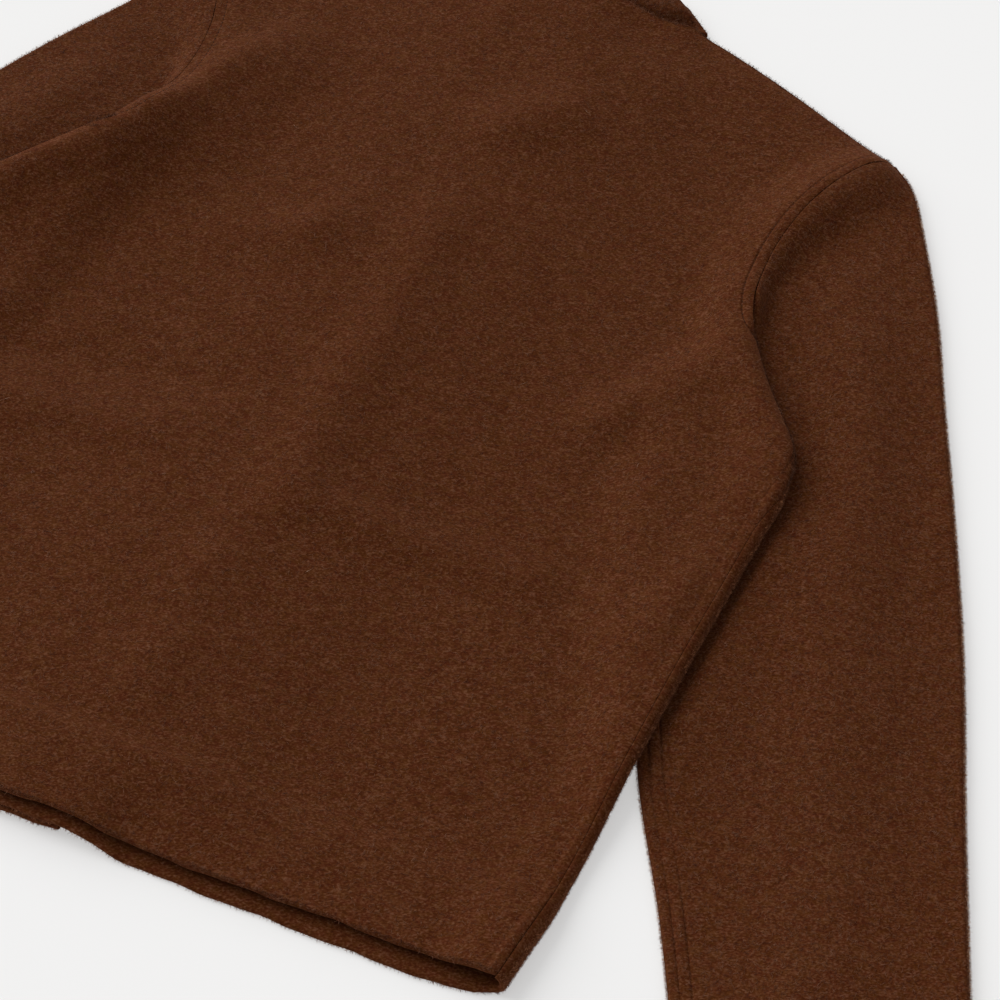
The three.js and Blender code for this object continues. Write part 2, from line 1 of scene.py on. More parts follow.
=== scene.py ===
"""A boxy brown wool jacket that lies face down on a pale floor, its back uppermost.

The cloth pieces repeat the part's own form on finer grids. Lengths are millimetres in a frame with its zero
at mid back, level with the shoulder tips and on the floor. X runs to the wearer's right and Y to the collar.
"""

import bpy
import numpy as np
from mathutils import Matrix, Vector


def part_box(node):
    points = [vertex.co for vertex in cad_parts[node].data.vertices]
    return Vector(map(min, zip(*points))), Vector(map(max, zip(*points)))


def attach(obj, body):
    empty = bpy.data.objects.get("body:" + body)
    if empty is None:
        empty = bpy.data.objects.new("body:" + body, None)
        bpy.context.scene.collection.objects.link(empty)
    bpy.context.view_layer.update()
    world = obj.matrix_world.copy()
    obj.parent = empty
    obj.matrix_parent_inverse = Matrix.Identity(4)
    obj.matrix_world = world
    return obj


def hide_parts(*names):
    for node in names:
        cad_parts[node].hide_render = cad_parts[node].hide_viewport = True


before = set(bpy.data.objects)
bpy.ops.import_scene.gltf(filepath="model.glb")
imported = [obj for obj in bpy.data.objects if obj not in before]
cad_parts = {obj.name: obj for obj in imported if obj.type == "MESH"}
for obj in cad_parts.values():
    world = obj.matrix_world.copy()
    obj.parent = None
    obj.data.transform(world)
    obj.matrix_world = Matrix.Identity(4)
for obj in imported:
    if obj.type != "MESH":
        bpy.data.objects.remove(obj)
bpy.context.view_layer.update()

# Cloth
CLOTH = 2.2
HEM_CLOTH = 4.0
GAP = 0.4  # between layers that touch
LAYERS_TOP = CLOTH * 1.5 + GAP  # mid wall of an upper layer that lies flat on a lower one
SIDE_GAP = 0.075  # between the two edges at a side seam
CURVED_SEAM = 0.02  # the same at the armholes and the neckline
LAP_GAP = 0.8  # between the two fronts in the lap
FREE_EDGE = (1.9, 0.15)  # how far in a hem or cuff is rounded off, and the share of the wall left at it
SEWN_EDGE = (1.2, 0.62)  # the same where a seam draws the edge down
SIDE_DROP = 4.5  # how much lower the fronts hang at the sides

# Body
TIP_X, TIP_Y = 241, 2
NECK_X, NECK_Y = 85, 67
BACK_NECK_Y = 70
FRONT_NECK_Y = -25
NECK_RUN = 14  # how wide the shoulder's slope dies out beside the neck
NECK_HOLLOW = (60, 22, 4.5)  # middle, half width and depth of the neckline's hollow beside the collar
SHOULDER_BULGE = 2.2
BACK_HEM_Y = -678
FRONT_HEM_Y = -683
HEM_DEPTH = 57
HEM_STEP_BELOW, HEM_STEP = 8, 22  # how far below its top the hem starts to thin, and how long that takes
STRIP = 30  # width of the strip at each side that turns round the edge
SIDE_ROLL = 4.6  # radius of that turn, with more of it by the underarm and by the hem
UNDERARM_ROLL = 1.6
HEM_ROLL = 2.2
UNDERARM_Y = -330  # where a sleeve's end meets its inner edge
FLAT_SIDE_Y, FLAT_SIDE_RUN = -200, 32  # from here up the turn flattens out along the armhole
SIDE_SEAM_IN = 4  # from the edge to the side seam on the back's face
UNDER_SEAM_IN = 6  # the same on the underside by the armhole
ROWS_RISE_Y = -420  # from here up the rows of the back bend towards the neckline's form
BACK_AIR = 3  # between the fronts and the back

# Closure and buttons
CLOSURE_X = -9
LAP = 20
BUTTON_FIRST_Y = -38
BUTTON_LIFT = 3.5 + GAP
BUTTON_STEP = 18  # from the closure to where the fronts start to come down from the buttons
LAP_STEP = LAP + 14  # the same for the lap
STEP_RUN = 34  # how long that takes
BUTTON_BRIDGE, LAP_BRIDGE = 110, 90  # how long it takes the back, which lies stiffly over them

# Collar
COLLAR_HEIGHT = 32
COLLAR_LEAN = 0.85  # of its section, in radians
COLLAR_TUCK = 6  # how far its seam lies below the back's edge
COLLAR_TROUGH, COLLAR_RIM_RISE = 4.2, 5.0  # of the band where it lies on the back

# Sleeve
SLEEVE_STACK = 7  # how far a sleeve lifts the front that lies on it
LIFT_AHEAD, LIFT_RUN = 45, 40  # from how far beside the sleeve the front rises, and in how much
LIFT_BELOW_Y = -120
SLEEVE_RUN = 700  # round length and width, for distances from its ends and folds
SLEEVE_WIDE = 160.0
OUTER_EDGE, INNER_EDGE = 2.4, 1.3  # radius of its folds
SLEEVE_SLANT = 1.12  # its width along X over its width square to its edges
LAST_SEEN_Y = -158  # where the armhole goes under the body's side
LEFT_SLEEVE_IN = 12  # how much nearer to the body the left one lies
SLEEVE_FALL = (15, 28)  # how far along it a sleeve comes down, low on the armhole and by the tip

# Outline of the body: level and half width
BODY_OUTLINE = np.array([
    (-690, 276), (-660, 278.5), (-610, 282), (-450, 282), (-330, 284), (-300, 285), (-265, 278), (-253, 271),
    (-227, 250), (-194, 227), (-169, 214), (-145, 207), (-112, 204), (-78, 207), (-49, 214), (-13, 230),
    (2, 241),
], dtype=float)

# Edges of a sleeve from the shoulder tip to the cuff: x and y
SLEEVE_OUTER = [
    (241.5, 2), (257, -11), (286, -58), (316, -117), (346, -186), (374, -249), (422, -362), (466, -479),
    (514, -602),
]
SLEEVE_INNER = [(222, -330), (250, -430), (282, -509), (333, -598), (368, -664)]
HIDDEN_END = [(215, -185), (216, -220), (218, -265), (222, -330)]
NARROWEST = (204, -112)  # where the armhole comes nearest to the middle

# Soft folds of the back: half width, then x, y and height along the crest
BACK_FOLDS = [
    (32, [(-146, -30, 1), (-157, -75, 8), (-180, -150, 9.6), (-208, -210, 10.2), (-246, -262, 9),
          (-264, -312, 2)]),
    (20, [(238, -4, 5), (214, -42, 6), (200, -80, 5.5), (198, -120, 4.2), (206, -160, 2.4), (228, -200, 1.5),
          (262, -245, 1), (280, -300, 0)]),
    (23, [(4, -130, 0.5), (4, -180, 4.6), (11, -238, 3.4), (10, -298, 5.2), (15, -350, 4.2), (15, -403, 5),
          (8, -442, 2), (4, -486, 3.8), (6, -522, 1.4), (7, -559, 4), (0, -620, 0.4)]),
    (60, [(-115, -10, 1), (-115, -640, 2)]),
    (42, [(80, -10, 1), (80, -640, 2)]),
    (60, [(-190, -340, 0), (-190, -420, 3.5), (-190, -640, 3.5)]),
    (24, [(8, -74, 6), (36, -50, 5)]),
    (20, [(-150, -240, 0), (-120, -235, 2.5), (-40, -200, 2)]),
    (20, [(150, -298, 1.5), (166, -274, 6), (196, -222, 5)]),
    (17, [(252, -424, 3.4), (258, -388, 3.4)]),
    (18, [(-64, -206, 3.6), (-60, -184, 2.4)]),
    (26, [(88, 0, 2), (94, -50, 1.6)]),
]

# Smaller creases and dents of the back, in the same columns
BACK_CREASES = [
    (13, [(-163, -52, 1.2), (-176, -88, 3.2), (-198, -150, 4.6), (-224, -200, 5), (-256, -248, 3),
          (-262, -290, 0)]),
    (15, [(240, -4, 1.5), (216, -42, 2.5), (203, -80, 2.5), (200, -130, 1)]),
    (18, [(-225, -372, -3.5), (-60, -352, -3)]),
    (16, [(-215, -418, 4.5), (-150, -410, 4.5), (-80, -402, 2.5)]),
    (16, [(30, -416, 4.5), (110, -414, 4.5), (175, -412, 3)]),
    (22, [(250, -630, 1.5), (246, -622, 1.5)]),
    (22, [(100, -20, -1), (150, -60, -1.2)]),
    (7, [(-44, 28, 0.8), (-36, -2, 0.4)]),
    (6, [(-10, 0, -0.7), (-30, 22, -0.4)]),
    (5, [(198, -609, 0.5), (240, -605, 0.3)]),
    (4, [(131, -622, -0.35), (190, -624, -0.2)]),
]

# Soft folds and creases of a sleeve
SLEEVE_FOLDS = [
    (34, [(276, -110, 3), (285, -150, 5), (318, -250, 5), (355, -390, 5), (405, -540, 4), (430, -610, 4)]),
]
SLEEVE_CREASES = [
    (26, [(297, -290, 0), (298, -330, 2.8), (300, -480, 2.8), (303, -555, 0)]),
    (24, [(252, -14, 3.5), (262, -50, 2), (270, -90, 0)]),
    (14, [(340, -420, 0.8), (400, -440, 0.8)]),
    (16, [(300, -300, 0.8), (340, -330, 0.8)]),
]


def ease(v):
    """Smooth step from 0 to 1 while v runs from 0 to 1."""
    f = np.clip(v, 0.0, 1.0)
    return f * f * (3 - 2 * f)


def lerp(a, b, f):
    """Value at the share f of the way from a to b."""
    return a + (b - a) * f


def bell(v, middle, half):
    """Bump of height 1 round a middle."""
    return np.exp(-((v - middle) / half) ** 2)


def running_length(points):
    """Length along a line of points, from its first one."""
    return np.concatenate([[0], np.cumsum(np.linalg.norm(np.diff(points, axis=0), axis=1))])


def with_shares(points):
    """A dense line of points, and the share of its length at each."""
    run = running_length(points)
    return points, run / run[-1]


def read_table(table, at):
    """Value of a two-column table at a place, on a smooth curve through its rows."""
    keys, values = table[:, 0], table[:, 1]
    at = np.asarray(at, dtype=float)
    last = len(keys) - 1
    i = np.clip(np.searchsorted(keys, at, side="left") - 1, 0, last - 1)
    before = np.maximum(i - 1, 0)
    after = np.minimum(i + 2, last)
    span = keys[i + 1] - keys[i]
    f = np.clip((at - keys[i]) / span, 0, 1)
    slope_a = (values[i + 1] - values[before]) / (keys[i + 1] - keys[before]) * span
    slope_b = (values[after] - values[i]) / (keys[after] - keys[i]) * span
    f2, f3 = f * f, f ** 3
    ends = (2 * f3 - 3 * f2 + 1) * values[i] + (3 * f2 - 2 * f3) * values[i + 1]
    return ends + (f3 - 2 * f2 + f) * slope_a + (f3 - f2) * slope_b


def smooth_line(points, steps=24):
    """Dense line along a centripetal curve through flat points."""
    p = np.array(points, dtype=float)
    p = np.vstack([2 * p[0] - p[1], p, 2 * p[-1] - p[-2]])
    out = []
    for k in range(1, len(p) - 2):
        p0, p1, p2, p3 = p[k - 1:k + 3]
        d0, d1, d2 = (max(np.linalg.norm(b - a), 1e-6) ** 0.5 for a, b in ((p0, p1), (p1, p2), (p2, p3)))
        t1 = ((p1 - p0) / d0 - (p2 - p0) / (d0 + d1) + (p2 - p1) / d1) * d1
        t2 = ((p2 - p1) / d1 - (p3 - p1) / (d1 + d2) + (p3 - p2) / d2) * d1
        f = (np.arange(steps) / steps)[:, None]
        square = 3 * (p2 - p1) - 2 * t1 - t2
        cube = 2 * (p1 - p2) + t1 + t2
        out.append(p1 + t1 * f + square * f ** 2 + cube * f ** 3)
    return with_shares(np.vstack([*out, p[-2:-1]]))


def along_line(line, share):
    """Points at shares of the length of a dense line, as arrays x and y."""
    dense, run = line
    share = np.clip(share, 0, 1)
    return np.interp(share, run, dense[:, 0]), np.interp(share, run, dense[:, 1])


def to_stretch(x, y, x0, y0, x1, y1):
    """Distance of a place from a straight stretch, and the share of its length at the nearest point."""
    dx, dy = x1 - x0, y1 - y0
    f = np.clip(((x - x0) * dx + (y - y0) * dy) / (dx * dx + dy * dy), 0, 1)
    return np.hypot(x - x0 - f * dx, y - y0 - f * dy), f


def fold_height(folds, x, y):
    """Height of soft folds at a place, each by its distance from the nearest stretch of its crest."""
    shape = np.broadcast(x, y).shape
    total = np.zeros(shape)
    for half, crest in folds:
        nearest = np.full(shape, 1e9)
        high = np.zeros(shape)
        for (x0, y0, h0), (x1, y1, h1) in zip(crest, crest[1:]):
            d, f = to_stretch(x, y, x0, y0, x1, y1)
            high = np.where(d < nearest, lerp(h0, h1, f), high)
            nearest = np.minimum(d, nearest)
        total += high * bell(nearest, 0, half)
    return total


def body_width(y):
    """Half width of the body at a level."""
    return read_table(BODY_OUTLINE, y)


def top_line_y(x):
    """Level of the neckline and the shoulder seams."""
    out = np.abs(x)
    slope = (TIP_Y - NECK_Y) / (TIP_X - NECK_X)
    shoulder = NECK_Y + slope * (out - NECK_X)
    bulge = SHOULDER_BULGE * np.sin(np.pi * np.clip((out - NECK_X) / (TIP_X - STRIP - NECK_X), 0, 1))
    middle, half, depth = NECK_HOLLOW
    hollow = depth * bell(out, middle, half)
    return lerp(BACK_NECK_Y, shoulder, ease((out - NECK_X + NECK_RUN) / NECK_RUN)) + bulge - hollow


def wall_at(y):
    """Thickness of the body's cloth at a level."""
    return lerp(HEM_CLOTH, CLOTH, ease((y - (BACK_HEM_Y + HEM_DEPTH) + HEM_STEP_BELOW) / HEM_STEP))


def inside_sleeve(x, y):
    """How far a place lies inside the sleeve that runs under the body."""
    out = np.abs(x)
    line = [NARROWEST, *HIDDEN_END, *SLEEVE_INNER[1:]]
    nearest = np.full(np.broadcast(x, y).shape, 1e9)
    signed = np.zeros_like(nearest)
    for (ax, ay), (bx, by) in zip(line, line[1:]):
        d, _ = to_stretch(out, y, ax, ay, bx, by)
        side = (by - ay) * (out - ax) - (bx - ax) * (y - ay)
        closer = d < nearest
        signed = np.where(closer, np.where(side < 0, d, -d), signed)
        nearest = np.minimum(d, nearest)
    return signed


def front_underside(x, y):
    """Height of the fronts' underside, over the buttons and the sleeves."""
    buttons = BUTTON_LIFT * (1 - ease((np.abs(x - CLOSURE_X) - BUTTON_STEP) / STEP_RUN))
    over_sleeve = ease((inside_sleeve(x, y) + LIFT_AHEAD) / LIFT_RUN)
    return buttons + SLEEVE_STACK * over_sleeve * ease((LIFT_BELOW_Y - y) / LIFT_RUN)


def lap_share(x):
    """How much of the lap's second layer lies under a place."""
    return 1 - ease((np.abs(x - CLOSURE_X) - LAP_STEP) / STEP_RUN)


def left_front_mid(x, y):
    """Mid wall of the left front."""
    return front_underside(x, y) + wall_at(y) / 2


def right_front_mid(x, y):
    """Mid wall of the right front, which lies on the left one in the lap."""
    lap = np.where(x < CLOSURE_X, 1, lap_share(x))
    return left_front_mid(x, y) + (wall_at(y) + LAP_GAP) * lap


def fronts_top(x, y):
    """Height of the upper side of the fronts."""
    return front_underside(x, y) + wall_at(y) + (wall_at(y) + LAP_GAP) * lap_share(x)


def roll_at(y):
    """Radius of the turn at the body's side."""
    by_underarm = UNDERARM_ROLL * ease((y - UNDERARM_Y) / 40) * ease((-170 - y) / 30)
    return SIDE_ROLL + by_underarm + HEM_ROLL * ease((-600 - y) / 60)


def back_folds(x, y):
    """Folds and creases of the back, which fade by the hem and at the straight part of each side."""
    fade = 1 - ease((np.abs(x) - body_width(y) + 24) / 20) * ease((UNDERARM_Y - y) / 40)
    height = fold_height(BACK_FOLDS, x, y) + fold_height(BACK_CREASES, x, y)
    return height * fade * ease((y - BACK_HEM_Y) / 30)


def spread_rest(x, y):
    """How far the back lies over the fronts beside closure and buttons, where it bridges their steps."""
    apart = np.abs(x - CLOSURE_X)
    beside = apart - BUTTON_STEP
    over_buttons = BUTTON_LIFT * (ease(beside / STEP_RUN) - ease(beside / BUTTON_BRIDGE))
    over_lap = (wall_at(y) + LAP_GAP) * (1 - ease((apart - LAP_STEP) / LAP_BRIDGE) - lap_share(x))
    fade = 60
    return (over_buttons + over_lap) * ease((top_line_y(x) - y) / fade) * ease((y - BACK_HEM_Y) / fade)


def back_mid(x, y):
    """Mid wall of the back."""
    out = np.abs(x)
    at_edge = ease((out - body_width(np.minimum(y, TIP_Y)) + 48) / 36)
    edge_air = 2 * roll_at(y) - wall_at(y)
    folds = back_folds(x, y)
    drop = np.maximum(0, top_line_y(x) - y)
    on_shoulder = ease((out - NECK_X + 15) / 25)
    near_top = lerp(1, 1 - np.exp(-drop / 9), on_shoulder)
    neck_air = 2.5 * np.exp(-drop / 20) * (1 - on_shoulder)
    air = GAP + near_top * (lerp(BACK_AIR + neck_air, edge_air - GAP, at_edge) + folds)
    return fronts_top(x, y) + spread_rest(x, y) + air + wall_at(y) / 2


def row_rise(y):
    """Slope of the rows in a side strip, level below and along the shoulder at the top."""
    return (NECK_Y - TIP_Y) / (TIP_X - NECK_X) * ease((y + 70) / 72)


def back_strip(y):
    """Length of the back's strip from its start to the side seam or the armhole."""
    roll = roll_at(y)
    turned = STRIP - roll + np.pi * roll + UNDER_SEAM_IN
    under = lerp(STRIP - SIDE_SEAM_IN, turned, ease((y + 335) / 130))
    return lerp(under, STRIP, ease((y - FLAT_SIDE_Y) / FLAT_SIDE_RUN))


def back_strip_point(side, y, length):
    """Points of the back's strip by their length from its start."""
    width, roll = body_width(y), roll_at(y)
    share = 1 - ease((y - FLAT_SIDE_Y) / FLAT_SIDE_RUN)
    flat = np.minimum(length, STRIP - roll)
    on_flat = length <= STRIP - roll
    x = width - STRIP + flat

    def level(at):
        return y + (width - at) * row_rise(y)

    turn = np.maximum(share, 0.001) / roll
    angle = np.minimum((length - flat) * turn, np.pi)
    past = length - flat - angle / turn
    rolled = np.where(on_flat, x, x + np.sin(angle) / turn - past)
    whole_angle = np.minimum((back_strip(y) - STRIP + roll) * turn, np.pi / 2)
    furthest = STRIP - roll + np.sin(whole_angle) / turn
    rolled = width - STRIP + (rolled - width + STRIP) * STRIP / np.maximum(furthest, STRIP)
    top = back_mid(side * (width - roll), level(width - roll))
    flat_top = back_mid(side * rolled, level(rolled))
    start = np.where(on_flat, flat_top, lerp(flat_top, top, share))
    puff = 1 + share * back_folds(side * (width - roll), level(width - roll)) / (2 * roll)
    z = start - np.where(on_flat, 0, (1 - np.cos(angle)) / turn * puff)
    return np.stack([side * rolled, level(rolled), z], axis=-1)


def front_strip_point(side, mid, y, length):
    """Points of a front's strip, which turns up round the side to meet the back."""
    width, roll = body_width(y), roll_at(y)
    flat = np.minimum(length, STRIP - roll)
    x = width - STRIP + flat
    plain = (length <= STRIP - roll) | (y > FLAT_SIDE_Y)
    reach = width - STRIP + length
    level = y + (width - reach) * row_rise(y)
    angle = np.minimum((length - flat) / roll, np.pi)
    past = length - flat - angle * roll
    z = mid(side * (width - roll), y) + roll * (1 - np.cos(angle))
    rolled = x + roll * np.sin(angle) - past
    return np.stack([
        side * np.where(plain, reach, rolled),
        np.where(plain, level, y),
        np.where(plain, mid(side * reach, level), z),
    ], axis=-1)


def front_strip(y):
    """Length of a front's strip from its start to the side seam or the armhole."""
    roll = roll_at(y)
    whole = 2 * (STRIP - roll) + np.pi * roll
    below = whole - back_strip(y) - SIDE_GAP / 2
    lower = lerp(below, STRIP - roll - UNDER_SEAM_IN, ease((y + 225) / 20))
    return lerp(lower, STRIP - 1, ease((y + 165) / 160))


def coons(bottom, top, left, right, u, v):
    """Inner points of a sheet from its four edges. u runs along columns and v along rows."""
    uu, vv = u[None, :], v[:, None]
    out = []
    for low, high, near, far in zip(bottom(u), top(u), left(v), right(v)):
        low, high = low[None, :], high[None, :]
        along_low = lerp(low[:, :1], low[:, -1:], uu)
        along_high = lerp(high[:, :1], high[:, -1:], uu)
        across = lerp(near[:, None], far[:, None], uu)
        out.append(lerp(low, high, vv) + across - lerp(along_low, along_high, vv))
    return out


def steps_between(stops):
    """Levels through a list of (level, step) rows, closer or wider as each step says."""
    levels = [stops[0][0]]
    for (a, step), (b, _) in zip(stops, stops[1:]):
        count = max(1, round(abs(b - a) / step))
        levels += [lerp(a, b, (k + 1) / count) for k in range(count)]
    return np.array(levels, dtype=float)


# Where the jacket's frame lies in the part's frame
button_low, button_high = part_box("button_1")
MOVE = np.array([
    (button_low[0] + button_high[0]) * 500 - CLOSURE_X,
    (button_low[1] + button_high[1]) * 500 - BUTTON_FIRST_Y,
    0.0,
])


def add_object(name, data):
    """New object in the scene."""
    obj = bpy.data.objects.new(name, data)
    bpy.context.scene.collection.objects.link(obj)
    return obj


def add_mesh(name, points, faces, material, smooth=True):
    """Object of a mesh given in millimetres of the jacket's frame."""
    mesh = bpy.data.meshes.new(name)
    mesh.from_pydata(((points + MOVE) / 1000).tolist(), [], faces)
    mesh.validate()
    if smooth:
        mesh.polygons.foreach_set("use_smooth", [True] * len(mesh.polygons))
    mesh.materials.append(material)
    return add_object(name, mesh)


def thinned(distance, edge):
    """Share of the wall at a distance from an edge."""
    depth, least = edge
    t = np.clip(distance / depth, 0, 1)
    return least + (1 - least) * np.sqrt(1 - (1 - t) ** 2)


def grid_normals(rows, ring):
    """Unit normals of a grid of points, whose columns close into a ring if asked."""
    padded = np.concatenate([rows[:1], rows, rows[-1:]], axis=0)
    along = padded[2:] - padded[:-2]
    first, last = rows[:, :1], rows[:, -1:]
    wide = np.concatenate([last, rows, first] if ring else [first, rows, last], axis=1)
    over = wide[:, 2:] - wide[:, :-2]
    normal = np.cross(over, along)
    return normal / np.maximum(np.linalg.norm(normal, axis=2, keepdims=True), 1e-9)


def sheet_solid(name, rows, wall, material, thin, ring=False, relief=0.0):
    """Closed mesh of a sheet and its outer surface as a grid of points and normals."""
    normal = grid_normals(rows, ring)
    half = wall / 2 * thin
    lift = relief * np.ones(rows.shape[:2])
    outer = rows + normal * (half + lift)[..., None]
    inner = rows - normal * half[..., None]
    count, across = rows.shape[:2]
    points = np.concatenate([outer.reshape(-1, 3), inner.reshape(-1, 3)])
    base = count * across
    spans = across if ring else across - 1
    j, i = np.meshgrid(np.arange(count - 1), np.arange(spans), indexing="ij")
    a = (j * across + i).ravel()
    b = (j * across + (i + 1) % across).ravel()
    first = np.arange(spans)
    second = (first + 1) % across
    top = (count - 1) * across
    quads = [
        (a, b, b + across, a + across),
        (base + a, base + a + across, base + b + across, base + b),
        (base + first, base + second, second, first),
        (top + first, top + second, base + top + second, base + top + first),
    ]
    if not ring:
        a = np.arange(count - 1) * across
        b = a + across - 1
        quads.append((a, a + across, base + a + across, base + a))
        quads.append((base + b, base + b + across, b + across, b))
    faces = np.concatenate([np.stack(corners, axis=1) for corners in quads])
    return add_mesh(name, points, faces.tolist(), material), outer, normal


# Materials
def new_material(name):
    """Material with its nodes, its links and its shader."""
    material = bpy.data.materials.new(name)
    material.use_nodes = True
    nodes = material.node_tree.nodes
    return material, nodes, material.node_tree.links, nodes["Principled BSDF"]


def settings(node, **values):
    """Set inputs of a node by their names, with an underscore for each space."""
    for name, value in values.items():
        node.inputs[name.replace("_", " ")].default_value = value


def noise(nodes, links, coords, scale, detail, rough=0.55, distortion=0.0, offset=0.0):
    """Noise over a place, moved by an offset of its own."""
    node = nodes.new("ShaderNodeTexNoise")
    settings(node, Scale=scale, Detail=detail, Roughness=rough, Distortion=distortion)
    move = nodes.new("ShaderNodeMapping")
    settings(move, Location=(offset, offset * 0.7, offset * 0.3))
    links.new(coords, move.inputs["Vector"])
    links.new(move.outputs["Vector"], node.inputs["Vector"])
    return node.outputs["Fac"]


def ramp(nodes, links, value, stops):
    """Colour by a value, from rows of (value, colour)."""
    node = nodes.new("ShaderNodeValToRGB")
    elements = node.color_ramp.elements
    while len(elements) < len(stops):
        elements.new(0.5)
    for element, (place, color) in zip(elements, stops):
        element.position = place
        element.color = (*color, 1)
    links.new(value, node.inputs["Fac"])
    return node.outputs["Color"]


def feed(links, sockets, values):
    """Link or set each socket, as its value is another socket or a number."""
    for socket, value in zip(sockets, values):
        if hasattr(value, "is_output"):
            links.new(value, socket)
        else:
            socket.default_value = value


def mix(nodes, links, a, b, factor):
    """Colour between two colours."""
    node = nodes.new("ShaderNodeMix")
    node.data_type = "RGBA"
    feed(links, [socket for socket in node.inputs if socket.enabled], (factor, a, b))
    return next(socket for socket in node.outputs if socket.enabled)


def maths(nodes, links, operation, a, b):
    """Result of one operation on two values."""
    node = nodes.new("ShaderNodeMath")
    node.operation = operation
    feed(links, node.inputs, (a, b))
    return node.outputs[0]


def add_bump(nodes, links, shader, height, strength, distance):
    """Bump of the surface by a height."""
    bump = nodes.new("ShaderNodeBump")
    settings(bump, Strength=strength, Distance=distance)
    links.new(height, bump.inputs["Height"])
    links.new(bump.outputs["Normal"], shader.inputs["Normal"])


def srgb(r, g, b):
    """Linear colour of an sRGB one."""
    def linear(v):
        v /= 255
        return v / 12.92 if v <= 0.04045 else ((v + 0.055) / 1.055) ** 2.4
    return (linear(r), linear(g), linear(b))


def felt():
    """Boiled wool: matted fibres over blotches of redder and yellower brown, and a dull nap. The fibres'
    colour darkens where their bump sinks: real fibre tone, with painted shade in the hollows of the mat.
    """
    material, nodes, links, shader = new_material("wool felt")
    coords = nodes.new("ShaderNodeTexCoord").outputs["Object"]
    stretch = nodes.new("ShaderNodeMapping")
    stretch.vector_type = "TEXTURE"
    settings(stretch, Rotation=(0, 0, 0.3), Scale=(1.45, 0.95, 1))
    links.new(coords, stretch.inputs["Vector"])
    grain = stretch.outputs["Vector"]
    blotch = noise(nodes, links, coords, 95, 3, offset=0.3)
    base = ramp(nodes, links, blotch, [
        (0.36, srgb(64, 28, 7)), (0.47, srgb(71, 34, 12)), (0.55, srgb(75, 38, 15)), (0.66, srgb(83, 46, 22)),
    ])
    tint = noise(nodes, links, grain, 230, 2, offset=1.7)
    tinted = ramp(nodes, links, tint, [
        (0.34, srgb(80, 34, 20)), (0.5, srgb(73, 36, 14)), (0.66, srgb(74, 43, 7)),
    ])
    color = mix(nodes, links, base, tinted, 0.45)
    curl = noise(nodes, links, grain, 430, 3, rough=0.6, distortion=1.2, offset=2.9)
    speck = noise(nodes, links, grain, 860, 1, offset=5.1)
    matted = maths(nodes, links, "ADD", maths(nodes, links, "MULTIPLY", curl, 0.5),
                   maths(nodes, links, "MULTIPLY", speck, 0.5))
    # Fibre colour that darkens as the bump sinks: the fibres' own tone, plus painted shade in the mat's
    # hollows
    fibre_tone_and_painted_shade = ramp(nodes, links, matted, [
        (0.35, srgb(38, 3, 1)), (0.45, srgb(59, 22, 2)), (0.5, srgb(73, 36, 14)), (0.55, srgb(86, 49, 28)),
        (0.65, srgb(112, 75, 56)),
    ])
    color = mix(nodes, links, color, fibre_tone_and_painted_shade, 0.5)
    links.new(color, shader.inputs["Base Color"])
    settings(shader, Roughness=0.95, Specular_IOR_Level=0.05)
    settings(shader, Sheen_Weight=0.16, Sheen_Roughness=0.45, Sheen_Tint=(*srgb(205, 132, 92), 1))
    height = maths(nodes, links, "ADD", matted, maths(nodes, links, "MULTIPLY", blotch, 0.6))
    add_bump(nodes, links, shader, height, 0.6, 0.0009)
    return material


def fibre_material(name, dark, middle, light):
    """Loose fibres of the nap, each in its own tone."""
    material, nodes, links, shader = new_material(name)
    coords = nodes.new("ShaderNodeTexCoord").outputs["Object"]
    tone = noise(nodes, links, coords, 330, 1, offset=0.9)
    color = ramp(nodes, links, tone, [(0.32, dark), (0.5, middle), (0.68, light)])
    links.new(color, shader.inputs["Base Color"])
    settings(shader, Roughness=0.9, Specular_IOR_Level=0.2)
    return material


def button_material():
    """Dark brown plastic with a faint cloudy grain."""
    material, nodes, links, shader = new_material("button plastic")
    coords = nodes.new("ShaderNodeTexCoord").outputs["Object"]
    cloud = noise(nodes, links, coords, 160, 3, distortion=1.5)
    color = ramp(nodes, links, cloud, [
        (0.35, srgb(30, 18, 12)), (0.6, srgb(58, 36, 24)), (0.75, srgb(84, 56, 38)),
    ])
    links.new(color, shader.inputs["Base Color"])
    settings(shader, Roughness=0.38)
    add_bump(nodes, links, shader, noise(nodes, links, coords, 900, 2), 0.15, 0.0003)
    return material


WOOL = felt()
NAP = fibre_material("wool nap", srgb(56, 21, 6), srgb(80, 45, 25), srgb(108, 72, 54))
# Paler than the nap: painted rim light, standing for light through the thin fibres at the fronts' hems and
# sides
RIM_NAP_PAINTED_LIGHT = fibre_material("wool rim nap painted rim light", srgb(84, 46, 26), srgb(116, 70, 44), srgb(152, 100, 68))
# Paler still: painted rim light, standing for light through the thin fibres along the sleeves' outlines
EDGE_NAP_PAINTED_LIGHT = fibre_material("wool edge nap painted rim light", srgb(108, 68, 46), srgb(144, 102, 76), srgb(184, 146, 116))
STRAY = fibre_material("pale stray fibres", srgb(104, 72, 56), srgb(132, 100, 82), srgb(160, 130, 112))
THREAD = fibre_material("sewing thread", srgb(36, 19, 10), srgb(46, 25, 14), srgb(60, 34, 20))
BUTTON = button_material()

# Distances from a seam at which the columns of a strip stand
SEAM_COLUMNS = np.array([
    0, 0.15, 0.4, 0.75, 1.1, 1.5, 2.1, 2.9, 3.8, 4.8, 5.6, 6.2, 6.7, 7.1, 7.5, 7.9, 8.4, 9.0, 9.8,
    11, 13, 15.5, 18, 21,
])
SEAM_ZONE = 9.0  # beyond it the columns spread over the strip
STITCH_IN = 7.3  # topstitching, from its seam
STITCH_HALF = 0.55
RIB_IN, RIB_HALF = 3.6, 2.2  # the puffed rib between seam and topstitching
FAR = 99.0  # distance of columns that no seam reaches
TIP_WHOLE = 0.7  # share of the thinning left out at an armhole's edge by the shoulder tip
LEFT_WHOLE = 0.8  # and all along the left armhole


